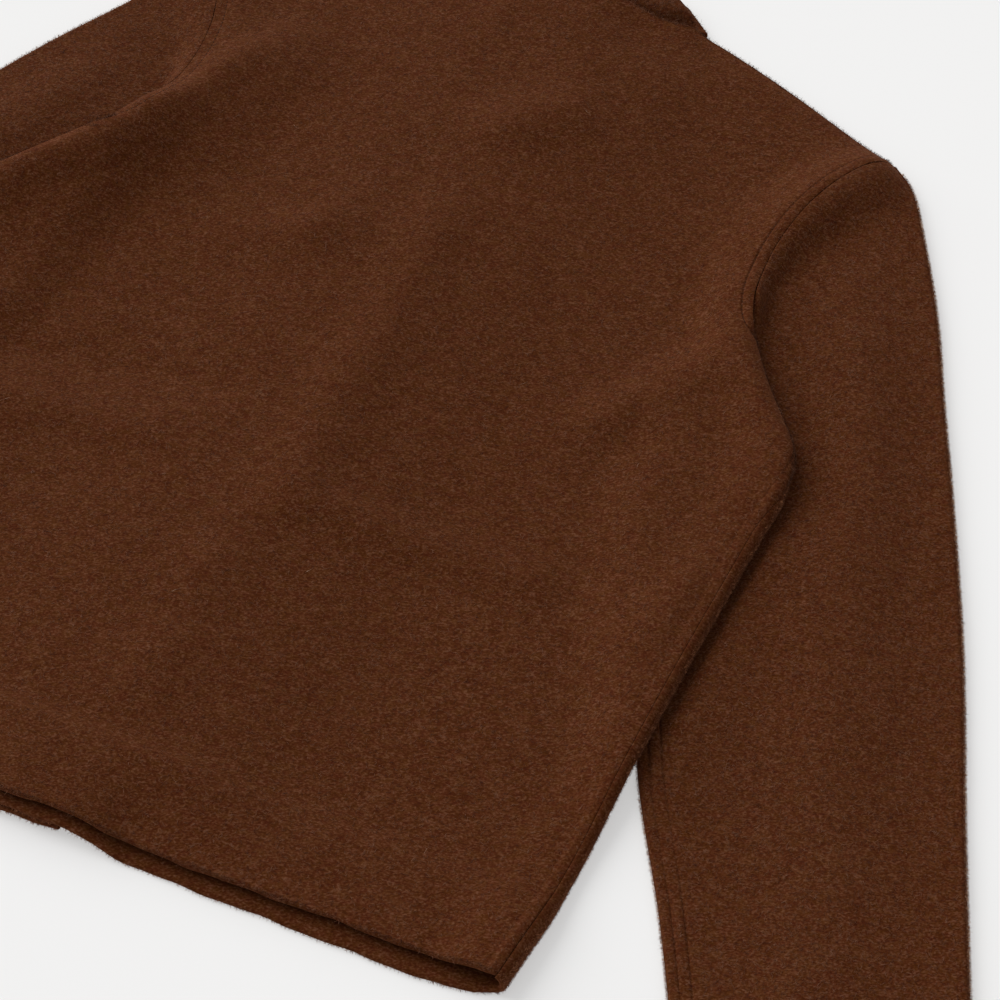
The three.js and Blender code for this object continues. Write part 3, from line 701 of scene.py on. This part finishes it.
def seam_distances(reach):
    """Distances of a strip's columns from its seam, for the strip's length at each level."""
    d = SEAM_COLUMNS[None, :-1]
    far = SEAM_ZONE + (d - SEAM_ZONE) * np.maximum(reach - SEAM_ZONE, 1) / (SEAM_COLUMNS[-1] - SEAM_ZONE)
    return np.where(d <= SEAM_ZONE, d, far)


def seam_relief(distance, puff, groove):
    """Height over the cloth beside a topstitched seam: a puffed rib, then the sunk stitch line."""
    return puff * bell(distance, RIB_IN, RIB_HALF) - groove * bell(distance, STITCH_IN, STITCH_HALF)


def near_tip(y):
    """How near a level is to the shoulder tips."""
    return ease((y + 45) / 35)


def uneven(s, seed, size):
    """A slow waver between about 0.5 and 1.5 along a line."""
    rng = np.random.default_rng(seed)
    phase = rng.uniform(0, 2 * np.pi, 4)
    return 1 + 0.5 * sum(np.sin(s / (size * (k + 1)) + phase[k]) for k in range(4)) / 2.4


def hem_waver(across, from_hem):
    """Uneven run of a hem, in millimetres along Y, which dies out above it."""
    waver = 0.5 * np.sin(across / 9.0 + 1) + 0.45 * np.sin(across / 23.0) + 0.25 * np.sin(across / 4.1 + 2)
    return waver * np.exp(-from_hem / 15)


def make_back():
    """The back: a strip at each side, and the cloth between them."""
    levels = steps_between([
        (BACK_HEM_Y, 0.2), (BACK_HEM_Y + 1, 0.4), (BACK_HEM_Y + 3, 1), (BACK_HEM_Y + 8, 5), (-626, 1.2),
        (-616, 5), (-350, 3), (-165, 4), (-8, 2), (-2, 0.7), (0.6, 0.3), (TIP_Y, 1),
    ])
    y = levels[:, None]
    reach = back_strip(y) - SIDE_GAP / 2
    distance = seam_distances(reach)
    right = back_strip_point(1, y, reach - distance)
    left = back_strip_point(-1, y, reach - distance)
    spans = 104
    u = np.arange(spans + 1)[None, :] / spans
    start = back_strip_point(1, y, np.zeros_like(y))
    start_x, start_y = start[..., 0], start[..., 1]
    x = lerp(-start_x, start_x, u)
    top_x = lerp(-(TIP_X - STRIP), TIP_X - STRIP, u)
    share = np.clip((y - ROWS_RISE_Y) / (TIP_Y - ROWS_RISE_Y), 0, 1) ** 1.3
    rise = (top_line_y(top_x) - top_line_y(TIP_X - STRIP)) * share
    inner_y = start_y + rise
    middle = np.stack([x, inner_y, back_mid(x, inner_y)], axis=-1)
    rows = np.concatenate([left, middle, right[:, ::-1]], axis=1)
    strip = distance.shape[1]
    from_side = np.full(rows.shape[:2], FAR)
    from_side[:, :strip] = distance
    from_side[:, -strip:] = distance[:, ::-1]
    from_hem = y - levels[0]
    from_shoulder = levels[-1] - y
    across = rows[..., 0]
    at_armhole = ease((y + 300) / 60)
    on_left = (across < 0) * at_armhole
    puff = 0.5
    sunk = lerp(0.12, 0.8, at_armhole) * lerp(1, 0.25, near_tip(y))
    relief = seam_relief(from_side, puff, sunk) * uneven(levels, 3, 23)[:, None] * (1 - 0.7 * on_left)
    hem_groove = 0.03 + 0.13 * bell(across, 160, 55) + 0.1 * bell(across, 250, 30)
    relief = relief - hem_groove * bell(y, BACK_HEM_Y + HEM_DEPTH, 1.6)
    relief = relief + 0.3 * bell(from_shoulder, 5, 3) * (from_side > STRIP)
    rows[..., 1] += hem_waver(across, from_hem)
    whole_edge = np.maximum(TIP_WHOLE * near_tip(y), LEFT_WHOLE * on_left)
    thin = (thinned(from_hem, FREE_EDGE) * thinned(from_shoulder, SEWN_EDGE)
            * lerp(thinned(from_side, SEWN_EDGE), 1, whole_edge))
    return sheet_solid("back", rows, wall_at(rows[..., 1]), WOOL, thin, relief=relief)


def front_top_line(start_x, end_x):
    """Dense line along the neckline and the shoulder seam of a front."""
    angle = np.linspace(0, np.pi / 2, 25)[1:]
    x = NECK_X * np.sin(angle)
    y = NECK_Y - (NECK_Y - FRONT_NECK_Y) * np.cos(angle)
    keep = x > start_x + 1
    shoulder = np.linspace(NECK_X, end_x, 12)[1:]
    xs = np.concatenate([[start_x], x[keep], shoulder])
    ys = np.concatenate([[FRONT_NECK_Y], y[keep], top_line_y(shoulder)])
    return with_shares(np.stack([xs, ys], axis=1))


def make_front(name, side, mid):
    """A front: its flat cloth under the body, and its strip that turns up round the side."""
    levels = steps_between([
        (BACK_HEM_Y, 0.25), (BACK_HEM_Y + 1.5, 1), (BACK_HEM_Y + 6, 6), (-350, 4), (-165, 6), (-4, 1.5),
        (TIP_Y, 1),
    ])
    v = (levels - levels[0]) / (levels[-1] - levels[0])
    edge_x = CLOSURE_X * side - LAP
    lower = (FRONT_HEM_Y - SIDE_DROP - BACK_HEM_Y) * np.maximum(0, 1 - v * 12)
    top_line = front_top_line(edge_x, TIP_X - STRIP)
    start = front_strip_point(1, mid, levels, np.zeros_like(levels))
    spans = 56
    closer_by_closure = 1.25
    u = (np.arange(spans + 1) / spans) ** closer_by_closure
    first_x = start[0, 0]
    x, y = coons(
        lambda s: (lerp(edge_x, first_x, s), FRONT_HEM_Y - SIDE_DROP * ease(s / 0.7)),
        lambda s: along_line(top_line, s),
        lambda t: (np.full_like(t, edge_x), lerp(FRONT_HEM_Y, FRONT_NECK_Y, t)),
        lambda t: (start[:, 0], start[:, 1] + lower),
        u, v)
    middle = np.stack([side * x, y, mid(side * x, y)], axis=-1)
    level = levels[:, None]
    reach = front_strip(level)
    distance = seam_distances(reach)[:, ::-1]
    distance = np.minimum(distance, reach * (0.02 + 0.98 * distance / distance.max()))
    length = np.maximum(reach - distance, 0)
    strip = front_strip_point(side, mid, level, length)
    strip[..., 1] += lower[:, None] * (1 - 0.8 * ease((length - 6) / 24))
    rows = np.concatenate([middle, strip[:, 1:]], axis=1)
    from_side = np.full(rows.shape[:2], FAR)
    from_side[:, middle.shape[1]:] = distance[:, 1:]
    from_closure = np.abs(rows[..., 0] - side * edge_x)
    from_hem = level - levels[0]
    from_shoulder = levels[-1] - level
    own_phase = 40
    rows[..., 1] += hem_waver(rows[..., 0] + own_phase, from_hem)
    thin = (thinned(from_hem, FREE_EDGE) * thinned(from_shoulder, SEWN_EDGE) * thinned(from_side, SEWN_EDGE)
            * thinned(from_closure, FREE_EDGE))
    if side > 0:
        rows, thin = rows[:, ::-1], thin[:, ::-1]
    return sheet_solid(name, rows, wall_at(rows[..., 1]), WOOL, thin)


def sleeve_end(seam_x):
    """End of a sleeve at the armhole, along the seam and then hidden under the body."""
    y = np.linspace(TIP_Y, LAST_SEEN_Y, 8)
    return smooth_line([*zip(seam_x(y), y), *HIDDEN_END])


def fold_round(start, end, inside, count):
    """Round points between two layers at a fold, bulging away from the cloth."""
    middle = (start + end) / 2
    radius = np.linalg.norm(start - end, axis=-1, keepdims=True) / 2
    out = start - inside
    out[..., 2] = 0
    out = out / np.linalg.norm(out, axis=-1, keepdims=True)
    angle = (np.arange(1, count + 1) / (count + 1) * np.pi)[None, :, None]
    bulge = out[:, None] * radius[:, None] * np.sin(angle)
    return middle[:, None] + (start - middle)[:, None] * np.cos(angle) + bulge


def sleeve_shares():
    """Shares across and along a sleeve of its columns and rows, closer by its ends and seam."""
    v = np.concatenate([
        np.array([0, 0.3, 0.7, 1.2, 2]) / SLEEVE_RUN,
        np.linspace(4 / SLEEVE_RUN, 0.25, 40),
        np.linspace(0.25, 0.985, 82)[1:],
        1 - np.array([6, 3, 2, 1.2, 0.7, 0.3, 0]) / SLEEVE_RUN,
    ])
    by_seam = SEAM_COLUMNS[SEAM_COLUMNS < 16] + 3.2
    u = np.concatenate([
        [0, 0.004, 0.012, 0.025],
        np.linspace(0.05, 1 - 22 / SLEEVE_WIDE, 42),
        1 - by_seam[::-1] / SLEEVE_WIDE,
        1 - np.array([2.2, 1.2, 0.5, 0]) / SLEEVE_WIDE,
    ])
    return u, v


def make_sleeve(name, side):
    """A sleeve: a flat tube of an upper and a lower layer, from the armhole to the cuff."""
    shift = LEFT_SLEEVE_IN if side < 0 else 0

    def moved(points, inset):
        return smooth_line([(x - (shift + inset) * float(ease(k / 2)), y) for k, (x, y) in enumerate(points)])

    outer_line = moved(SLEEVE_OUTER, (OUTER_EDGE + CLOTH / 2) * SLEEVE_SLANT)
    inner_line = moved(SLEEVE_INNER, -(INNER_EDGE + CLOTH / 2) * SLEEVE_SLANT)
    upper_end = sleeve_end(lambda y: body_width(y) + CURVED_SEAM)
    lower_end = sleeve_end(lambda y: body_width(y) - STRIP + front_strip(y) + CURVED_SEAM)
    u, v = sleeve_shares()
    low_u = np.linspace(0, 1, 24)

    def cuff(s):
        outer_x, outer_y = along_line(outer_line, 1.0)
        inner_x, inner_y = along_line(inner_line, 1.0)
        return lerp(outer_x, inner_x, s), lerp(outer_y, inner_y, s)

    def layer(end, s):
        return coons(lambda t: along_line(end, t), cuff, lambda t: along_line(outer_line, t),
                     lambda t: along_line(inner_line, t), s, v)

    x, y = layer(upper_end, u)
    end_x, end_y = along_line(upper_end, u)
    hidden = CLOTH / 2 + 2 * INNER_EDGE
    end_z = lerp(back_mid(side * end_x, end_y), hidden, ease((-148 - end_y) / 34))[None, :]
    uu, vv = u[None, :], v[:, None]
    rest = CLOTH / 2 + 2 * lerp(OUTER_EDGE, INNER_EDGE, uu)
    off_body = x - body_width(np.minimum(y, TIP_Y))
    beside = np.where(y > -170, ease(vv * 8), ease((off_body - 6) / 40))
    from_edges = ease(np.minimum(uu, 1 - uu) * 5)
    folds = fold_height(SLEEVE_FOLDS, x, y) * beside * from_edges
    creases = fold_height(SLEEVE_CREASES, x, y) * from_edges * ease((off_body - 1) / 8)
    fall = lerp(*SLEEVE_FALL, ease((end_y + 130) / 110))[None, :]
    z = lerp(end_z, rest + folds, 1 - np.exp(-(vv * SLEEVE_RUN / fall) ** 2.6))
    z = np.maximum(z + creases, np.minimum(z, LAYERS_TOP))
    upper = np.stack([side * x, y, z], axis=-1)
    low_x, low_y = layer(lower_end, low_u)
    lower = np.stack([side * low_x, low_y, np.full_like(low_x, CLOTH / 2)], axis=-1)
    rows = np.concatenate([
        upper, fold_round(upper[:, -1], lower[:, -1], upper[:, -3], 7), lower[:, ::-1],
        fold_round(lower[:, 0], upper[:, 0], lower[:, 1], 9),
    ], axis=1)
    from_fold = np.full(rows.shape[:2], FAR)
    from_fold[:, :len(u)] = (1 - uu) * SLEEVE_WIDE
    whole_edge = TIP_WHOLE * near_tip(rows[:1, :, 1]) if side > 0 else LEFT_WHOLE
    thin = (lerp(thinned(vv * SLEEVE_RUN, SEWN_EDGE), 1, whole_edge)
            * thinned((1 - vv) * SLEEVE_RUN, FREE_EDGE))
    seam_at, rib_at, stitch_at = 4.2, 7.7, 11.2
    grooves = 0.9 * bell(from_fold, seam_at, 0.7) + 0.9 * bell(from_fold, stitch_at, 0.6)
    relief = (0.4 * bell(from_fold, rib_at, 2.2) - grooves) * uneven(v * SLEEVE_RUN, 11, 29)[:, None]
    if side < 0:
        rows, thin, relief = (a[:, ::-1] for a in (rows, thin, relief))
    return sheet_solid(name, rows, CLOTH, WOOL, thin, ring=True, relief=relief)


def make_collar():
    """The collar: a band that lies outward round the neck."""
    low_mid = {-1: left_front_mid, 1: right_front_mid}
    drop = NECK_Y - FRONT_NECK_Y
    fold_x, fold_y = NECK_X - 0.5, NECK_Y + 3
    by_back_neck = NECK_X - 8

    def section(x, y, z, lean, rim_z):
        """Seam point and rim point of the band."""
        height = COLLAR_HEIGHT - 4.5 * bell(x, fold_x, 16)
        rim_x, rim_y = x - np.sin(lean) * height, y + np.cos(lean) * height
        return (x, y, z), (rim_x, rim_y, rim_z(rim_x, rim_y))

    def half(side):
        out = []
        end_x = -(CLOSURE_X * side - LAP)
        for f in np.linspace(0, 1, 61):
            angle = lerp(-0.3, np.pi / 2, f)
            x = lerp(-end_x, 0, f / 0.16) if angle < 0 else (NECK_X - CURVED_SEAM) * np.sin(angle)
            dip = FRONT_NECK_Y if angle < 0 else NECK_Y - drop * np.cos(angle)
            y = lerp(dip + CURVED_SEAM, fold_y, ease((f - 0.8) / 0.2))

            def flat(px, py):
                return float(low_mid[side](np.array(side * px), np.array(py)))

            out.append(section(min(x, fold_x), y, flat(x, y), COLLAR_LEAN * ease(f), flat))
        return out

    turned = []
    low = CLOTH / 2
    radius = (LAYERS_TOP - low) / 2
    for share in np.linspace(0, 1, 9)[1:-1]:
        angle = share * np.pi
        z = low + radius * (1 - np.cos(angle))
        turned.append(section(fold_x + radius * np.sin(angle), fold_y, z, COLLAR_LEAN, lambda a, b, z=z: z))
    back = []
    back_points = 44
    for share in np.linspace(0, 1, back_points):
        x = lerp(fold_x, 0, share)
        onto_back = ease((by_back_neck - x) / 22)
        y = lerp(fold_y, BACK_NECK_Y + 0.6, ease((fold_x - x) / 12)) - COLLAR_TUCK * onto_back
        lean = COLLAR_LEAN * (1 - ease((fold_x - x) / 60))
        back.append(section(x, y, LAYERS_TOP + 1.6 * onto_back, lean, lambda a, b: LAYERS_TOP + 0.2))

    def path(side):
        return np.array([[(side * s[0], s[1], s[2]), (side * r[0], r[1], r[2])]
                         for s, r in [*half(side), *turned, *back]], dtype=float)

    whole = np.concatenate([path(-1), path(1)[::-1][1:]])
    share = np.concatenate([[0, 0.01, 0.025, 0.045], np.linspace(0.08, 0.92, 16), [0.955, 0.975, 0.99, 1]])
    rows = lerp(whole[None, :, 0], whole[None, :, 1], share[:, None, None])
    on_back = (np.abs(np.arange(whole.shape[0]) - (whole.shape[0] - 1) / 2) < back_points)[None, :]
    dip = COLLAR_TROUGH * ease(share / 0.12) * (1 - ease((share - 0.2) / 0.25))
    rise = COLLAR_RIM_RISE * ease((share - 0.2) / 0.4)
    off_fold = ease((fold_x + 2 - np.abs(whole[:, 0, 0])) / 12)[None, :]
    rows[..., 2] += on_back * (rise - dip)[:, None] * off_fold
    rows[..., 2] = np.maximum(rows[..., 2], low)
    from_rim = np.minimum(share, 1 - share)[:, None] * COLLAR_HEIGHT * np.ones(rows.shape[:2])
    run = running_length(whole[:, 0])
    from_side = np.minimum(run, run[-1] - run)[None, :]
    relief = -0.35 * bell(from_rim, 6, 0.8)
    thin = thinned(from_rim, FREE_EDGE) * thinned(from_side, FREE_EDGE)
    return sheet_solid("collar", rows, CLOTH, WOOL, thin, relief=relief)


def make_fibres(name, outer, normal, count, seed, material, keep, length=(2.5, 6.5), breadth=0.17, lift=0.0,
                ring=False):
    """Loose fibres of the nap as thin ribbons, scattered by area over the kept part of an outer surface."""
    rng = np.random.default_rng(seed)
    root, over_floor = 0.08, 0.05
    if ring:
        outer = np.concatenate([outer, outer[:, :1]], axis=1)
        normal = np.concatenate([normal, normal[:, :1]], axis=1)
    corner = outer[:-1, :-1]
    over, along = outer[:-1, 1:] - corner, outer[1:, :-1] - corner
    area = np.linalg.norm(np.cross(over, along), axis=2) * keep(corner, normal[:-1, :-1])
    chance = area.ravel() / area.sum()
    pick = rng.choice(chance.size, count, p=chance)
    j, i = np.unravel_index(pick, area.shape)
    a, b = rng.random((count, 1)), rng.random((count, 1))
    place = corner[j, i] + over[j, i] * a + along[j, i] * b
    up = normal[j, i]
    east = over[j, i] / np.maximum(np.linalg.norm(over[j, i], axis=1, keepdims=True), 1e-9)
    north = np.cross(up, east)
    turn = rng.uniform(0, 2 * np.pi, (count, 1))
    bend = turn + rng.normal(0, 0.7, (count, 1))
    size = rng.uniform(*length, (count, 1)) * rng.uniform(0.6, 1, (count, 1))
    first = np.cos(turn) * east + np.sin(turn) * north
    second = np.cos(bend) * east + np.sin(bend) * north
    thick = breadth / 2 * rng.uniform(0.6, 1.3, (count, 1))
    wide = np.cross(up, first) * thick
    p0 = place - up * root
    p1 = place + first * size * 0.5 + up * (rng.uniform(0.1, 0.5, (count, 1)) + size * lift)
    p2 = p1 + second * size * 0.5 + up * (rng.uniform(-0.4, 0.45, (count, 1)) + size * lift * 0.6)
    points = np.stack([p0 - wide, p0 + wide, p1 + wide, p1 - wide, p2], axis=1).reshape(-1, 3)
    points[:, 2] = np.maximum(points[:, 2], over_floor)
    base = np.arange(count)[:, None] * 5
    quads = (base + np.array([0, 1, 2, 3])).tolist()
    tips = (base + np.array([3, 2, 4])).tolist()
    return add_mesh(name, points, quads + tips, material, smooth=False)


def make_stitches(name, line, normals, pitch=3.5, long=2.7, thick=0.42):
    """Stitches along a line of points: short round-ended threads sunk in their groove."""
    run = running_length(line)
    starts = np.arange(1.0, run[-1] - long, pitch)
    shares = np.array([0, 0.12, 0.5, 0.88, 1])
    fat = np.array([0.25, 0.85, 1, 0.85, 0.25])
    sunk = np.array([-0.3, -0.05, 0.08, -0.05, -0.3])
    sides = 6
    angle = np.arange(sides) / sides * 2 * np.pi
    points, faces = [], []
    for start in starts:
        at = start + shares * long
        centre = np.stack([np.interp(at, run, line[:, k]) for k in range(3)], axis=1)
        up = np.stack([np.interp(at, run, normals[:, k]) for k in range(3)], axis=1)
        up /= np.linalg.norm(up, axis=1, keepdims=True)
        way = centre[-1] - centre[0]
        way /= np.linalg.norm(way)
        flank = np.cross(up, way)
        centre = centre + up * sunk[:, None]
        spoke = flank[:, None] * np.cos(angle)[None, :, None] + up[:, None] * np.sin(angle)[None, :, None]
        ring = centre[:, None] + spoke * (fat * thick / 2)[:, None, None]
        base = len(points) * len(shares) * sides
        points.append(ring.reshape(-1, 3))
        rings = base + np.arange(len(shares) * sides).reshape(-1, sides)
        for low, high in zip(rings, rings[1:]):
            faces += np.stack([low, np.roll(low, -1), np.roll(high, -1), high], axis=1).tolist()
        faces += [rings[0][::-1].tolist(), rings[-1].tolist()]
    return add_mesh(name, np.concatenate(points), faces, THREAD)


def declare(obj, extras):
    """Hide the part's own mesh of a cloth piece, and attach the piece and the fibres and stitches on it to
    the root body.
    """
    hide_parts(obj["node"])
    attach(obj, "root")
    for extra in extras:
        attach(extra, "root")


def turned_out(points, normals):
    """Only at folds and edges, where the nap shows against what lies behind."""
    by_edge = (points[..., 1] < BACK_HEM_Y + 1) | (points[..., 1] > top_line_y(points[..., 0]) - 1.5)
    return ((np.abs(normals[..., 2]) < 0.6) | by_edge) * 1.0


def outer_edges(points, normals):
    """Only at a sleeve's folds and cuff, and not where it drops from the armhole."""
    off_armhole = (np.abs(points[..., 0]) > 246) | (points[..., 1] < UNDERARM_Y)
    return turned_out(points, normals) * off_armhole


def facing_up(points, normals):
    """Only where the cloth can be seen from above or from the side."""
    return (normals[..., 2] > -0.3) * 1.0


pieces = {}

obj, outer, normal = make_back()
stitch_column = int(np.argmin(np.abs(SEAM_COLUMNS - STITCH_IN)))
by_armhole = (outer[:, stitch_column, 1] > -240) & (outer[:, stitch_column, 1] < 0)
stitch_points, stitch_normals = outer[by_armhole], normal[by_armhole]
extras = [
    make_fibres("back_nap", outer, normal, 50000, 21, NAP, facing_up, breadth=0.2),
    make_fibres("back_rim_nap", outer, normal, 18000, 22, NAP, turned_out, length=(1.4, 2.8), breadth=0.14,
                lift=0.3),
    *(make_stitches(f"back_stitches_{side}", stitch_points[:, column], stitch_normals[:, column])
      for side, column in (("left", stitch_column), ("right", -1 - stitch_column))),
    make_fibres("back_strays", outer, normal, 18, 77, STRAY, facing_up, length=(6, 14), breadth=0.18),
]
pieces["back"] = (obj, extras)

for name, side, mid, seed in (
    ("right_front", 1, right_front_mid, 31),
    ("left_front", -1, left_front_mid, 32),
):
    obj, outer, normal = make_front(name, side, mid)
    pieces[name] = (obj, [
        make_fibres(f"{name}_nap", outer, normal, 14000, seed, RIM_NAP_PAINTED_LIGHT, turned_out, length=(1.2, 2.6), lift=0.2),
    ])

for name, side, seed in (("right_sleeve", 1, 41), ("left_sleeve", -1, 42)):
    obj, outer, normal = make_sleeve(name, side)
    pieces[name] = (obj, [
        make_fibres(f"{name}_nap", outer, normal, 24000, seed, NAP, facing_up, breadth=0.2, ring=True),
        make_fibres(f"{name}_rim_nap", outer, normal, 20000, seed + 5, EDGE_NAP_PAINTED_LIGHT, outer_edges, length=(1.4, 3),
                    breadth=0.14, lift=0.3, ring=True),
    ])

obj, outer, normal = make_collar()
pieces["collar"] = (obj, [make_fibres("collar_nap", outer, normal, 4000, 51, NAP, facing_up)])

# Floor
FLOOR_HALF = 15.0
FLOOR_BELOW = 0.0002
corners = [(a * FLOOR_HALF, b * FLOOR_HALF, 0) for a, b in ((-1, -1), (1, -1), (1, 1), (-1, 1))]
floor_mesh = bpy.data.meshes.new("floor")
floor_mesh.from_pydata(corners, [], [(0, 1, 2, 3)])
floor = add_object("floor", floor_mesh)
floor.location.z = -FLOOR_BELOW
floor_material, _, _, floor_shader = new_material("pale floor")
settings(floor_shader, Base_Color=(0.44, 0.4375, 0.435, 1), Roughness=0.9, Specular_IOR_Level=0.0)
settings(floor_shader, Emission_Color=(1, 0.995, 0.99, 1), Emission_Strength=0.445)
floor_mesh.materials.append(floor_material)

for name, (obj, extras) in pieces.items():
    obj["node"] = name
    obj.name = f"{name}_cloth"
    declare(obj, extras)

for index in range(5):
    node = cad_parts[f"button_{index + 1}"]
    for material_slot in node.material_slots:
        material_slot.material = BUTTON

# Light: an even pale surround and one broad soft light from the picture's left
world = bpy.data.worlds.new("surround")
bpy.context.scene.world = world
world.use_nodes = True
settings(world.node_tree.nodes["Background"], Color=(1, 1, 1, 1), Strength=0.50)

sun_data = bpy.data.lights.new("soft light", "SUN")
sun_data.energy = 3.0
sun_data.angle = 1.1
sun = add_object("soft light", sun_data)
sun_from = Vector((-0.95, 0.25, 0.62))
sun.rotation_euler = sun_from.to_track_quat("Z", "Y").to_euler()

# Camera, without roll, at the photograph's angle
TURN = np.radians(24.3)
DOWN = np.radians(48.0)
FOCAL = 4.1935  # in picture widths
SENSOR = 36
LOOK_AT = np.array([129.5, -355.8, 0.0])
AWAY = 2474.2  # from the camera to that place
forward = Vector((-np.sin(TURN) * np.cos(DOWN), np.cos(TURN) * np.cos(DOWN), -np.sin(DOWN)))
right = Vector((np.cos(TURN), np.sin(TURN), 0))
up = right.cross(forward)
camera_data = bpy.data.cameras.new("camera")
camera_data.sensor_width = SENSOR
camera_data.lens = FOCAL * SENSOR
camera_data.clip_end = 100
camera = add_object("camera", camera_data)
at = Vector((LOOK_AT + MOVE) / 1000) - forward * AWAY / 1000
camera.matrix_world = Matrix.Translation(at) @ Matrix((right, up, -forward)).transposed().to_4x4()
bpy.context.scene.camera = camera
bpy.context.scene.view_settings.view_transform = "Standard"
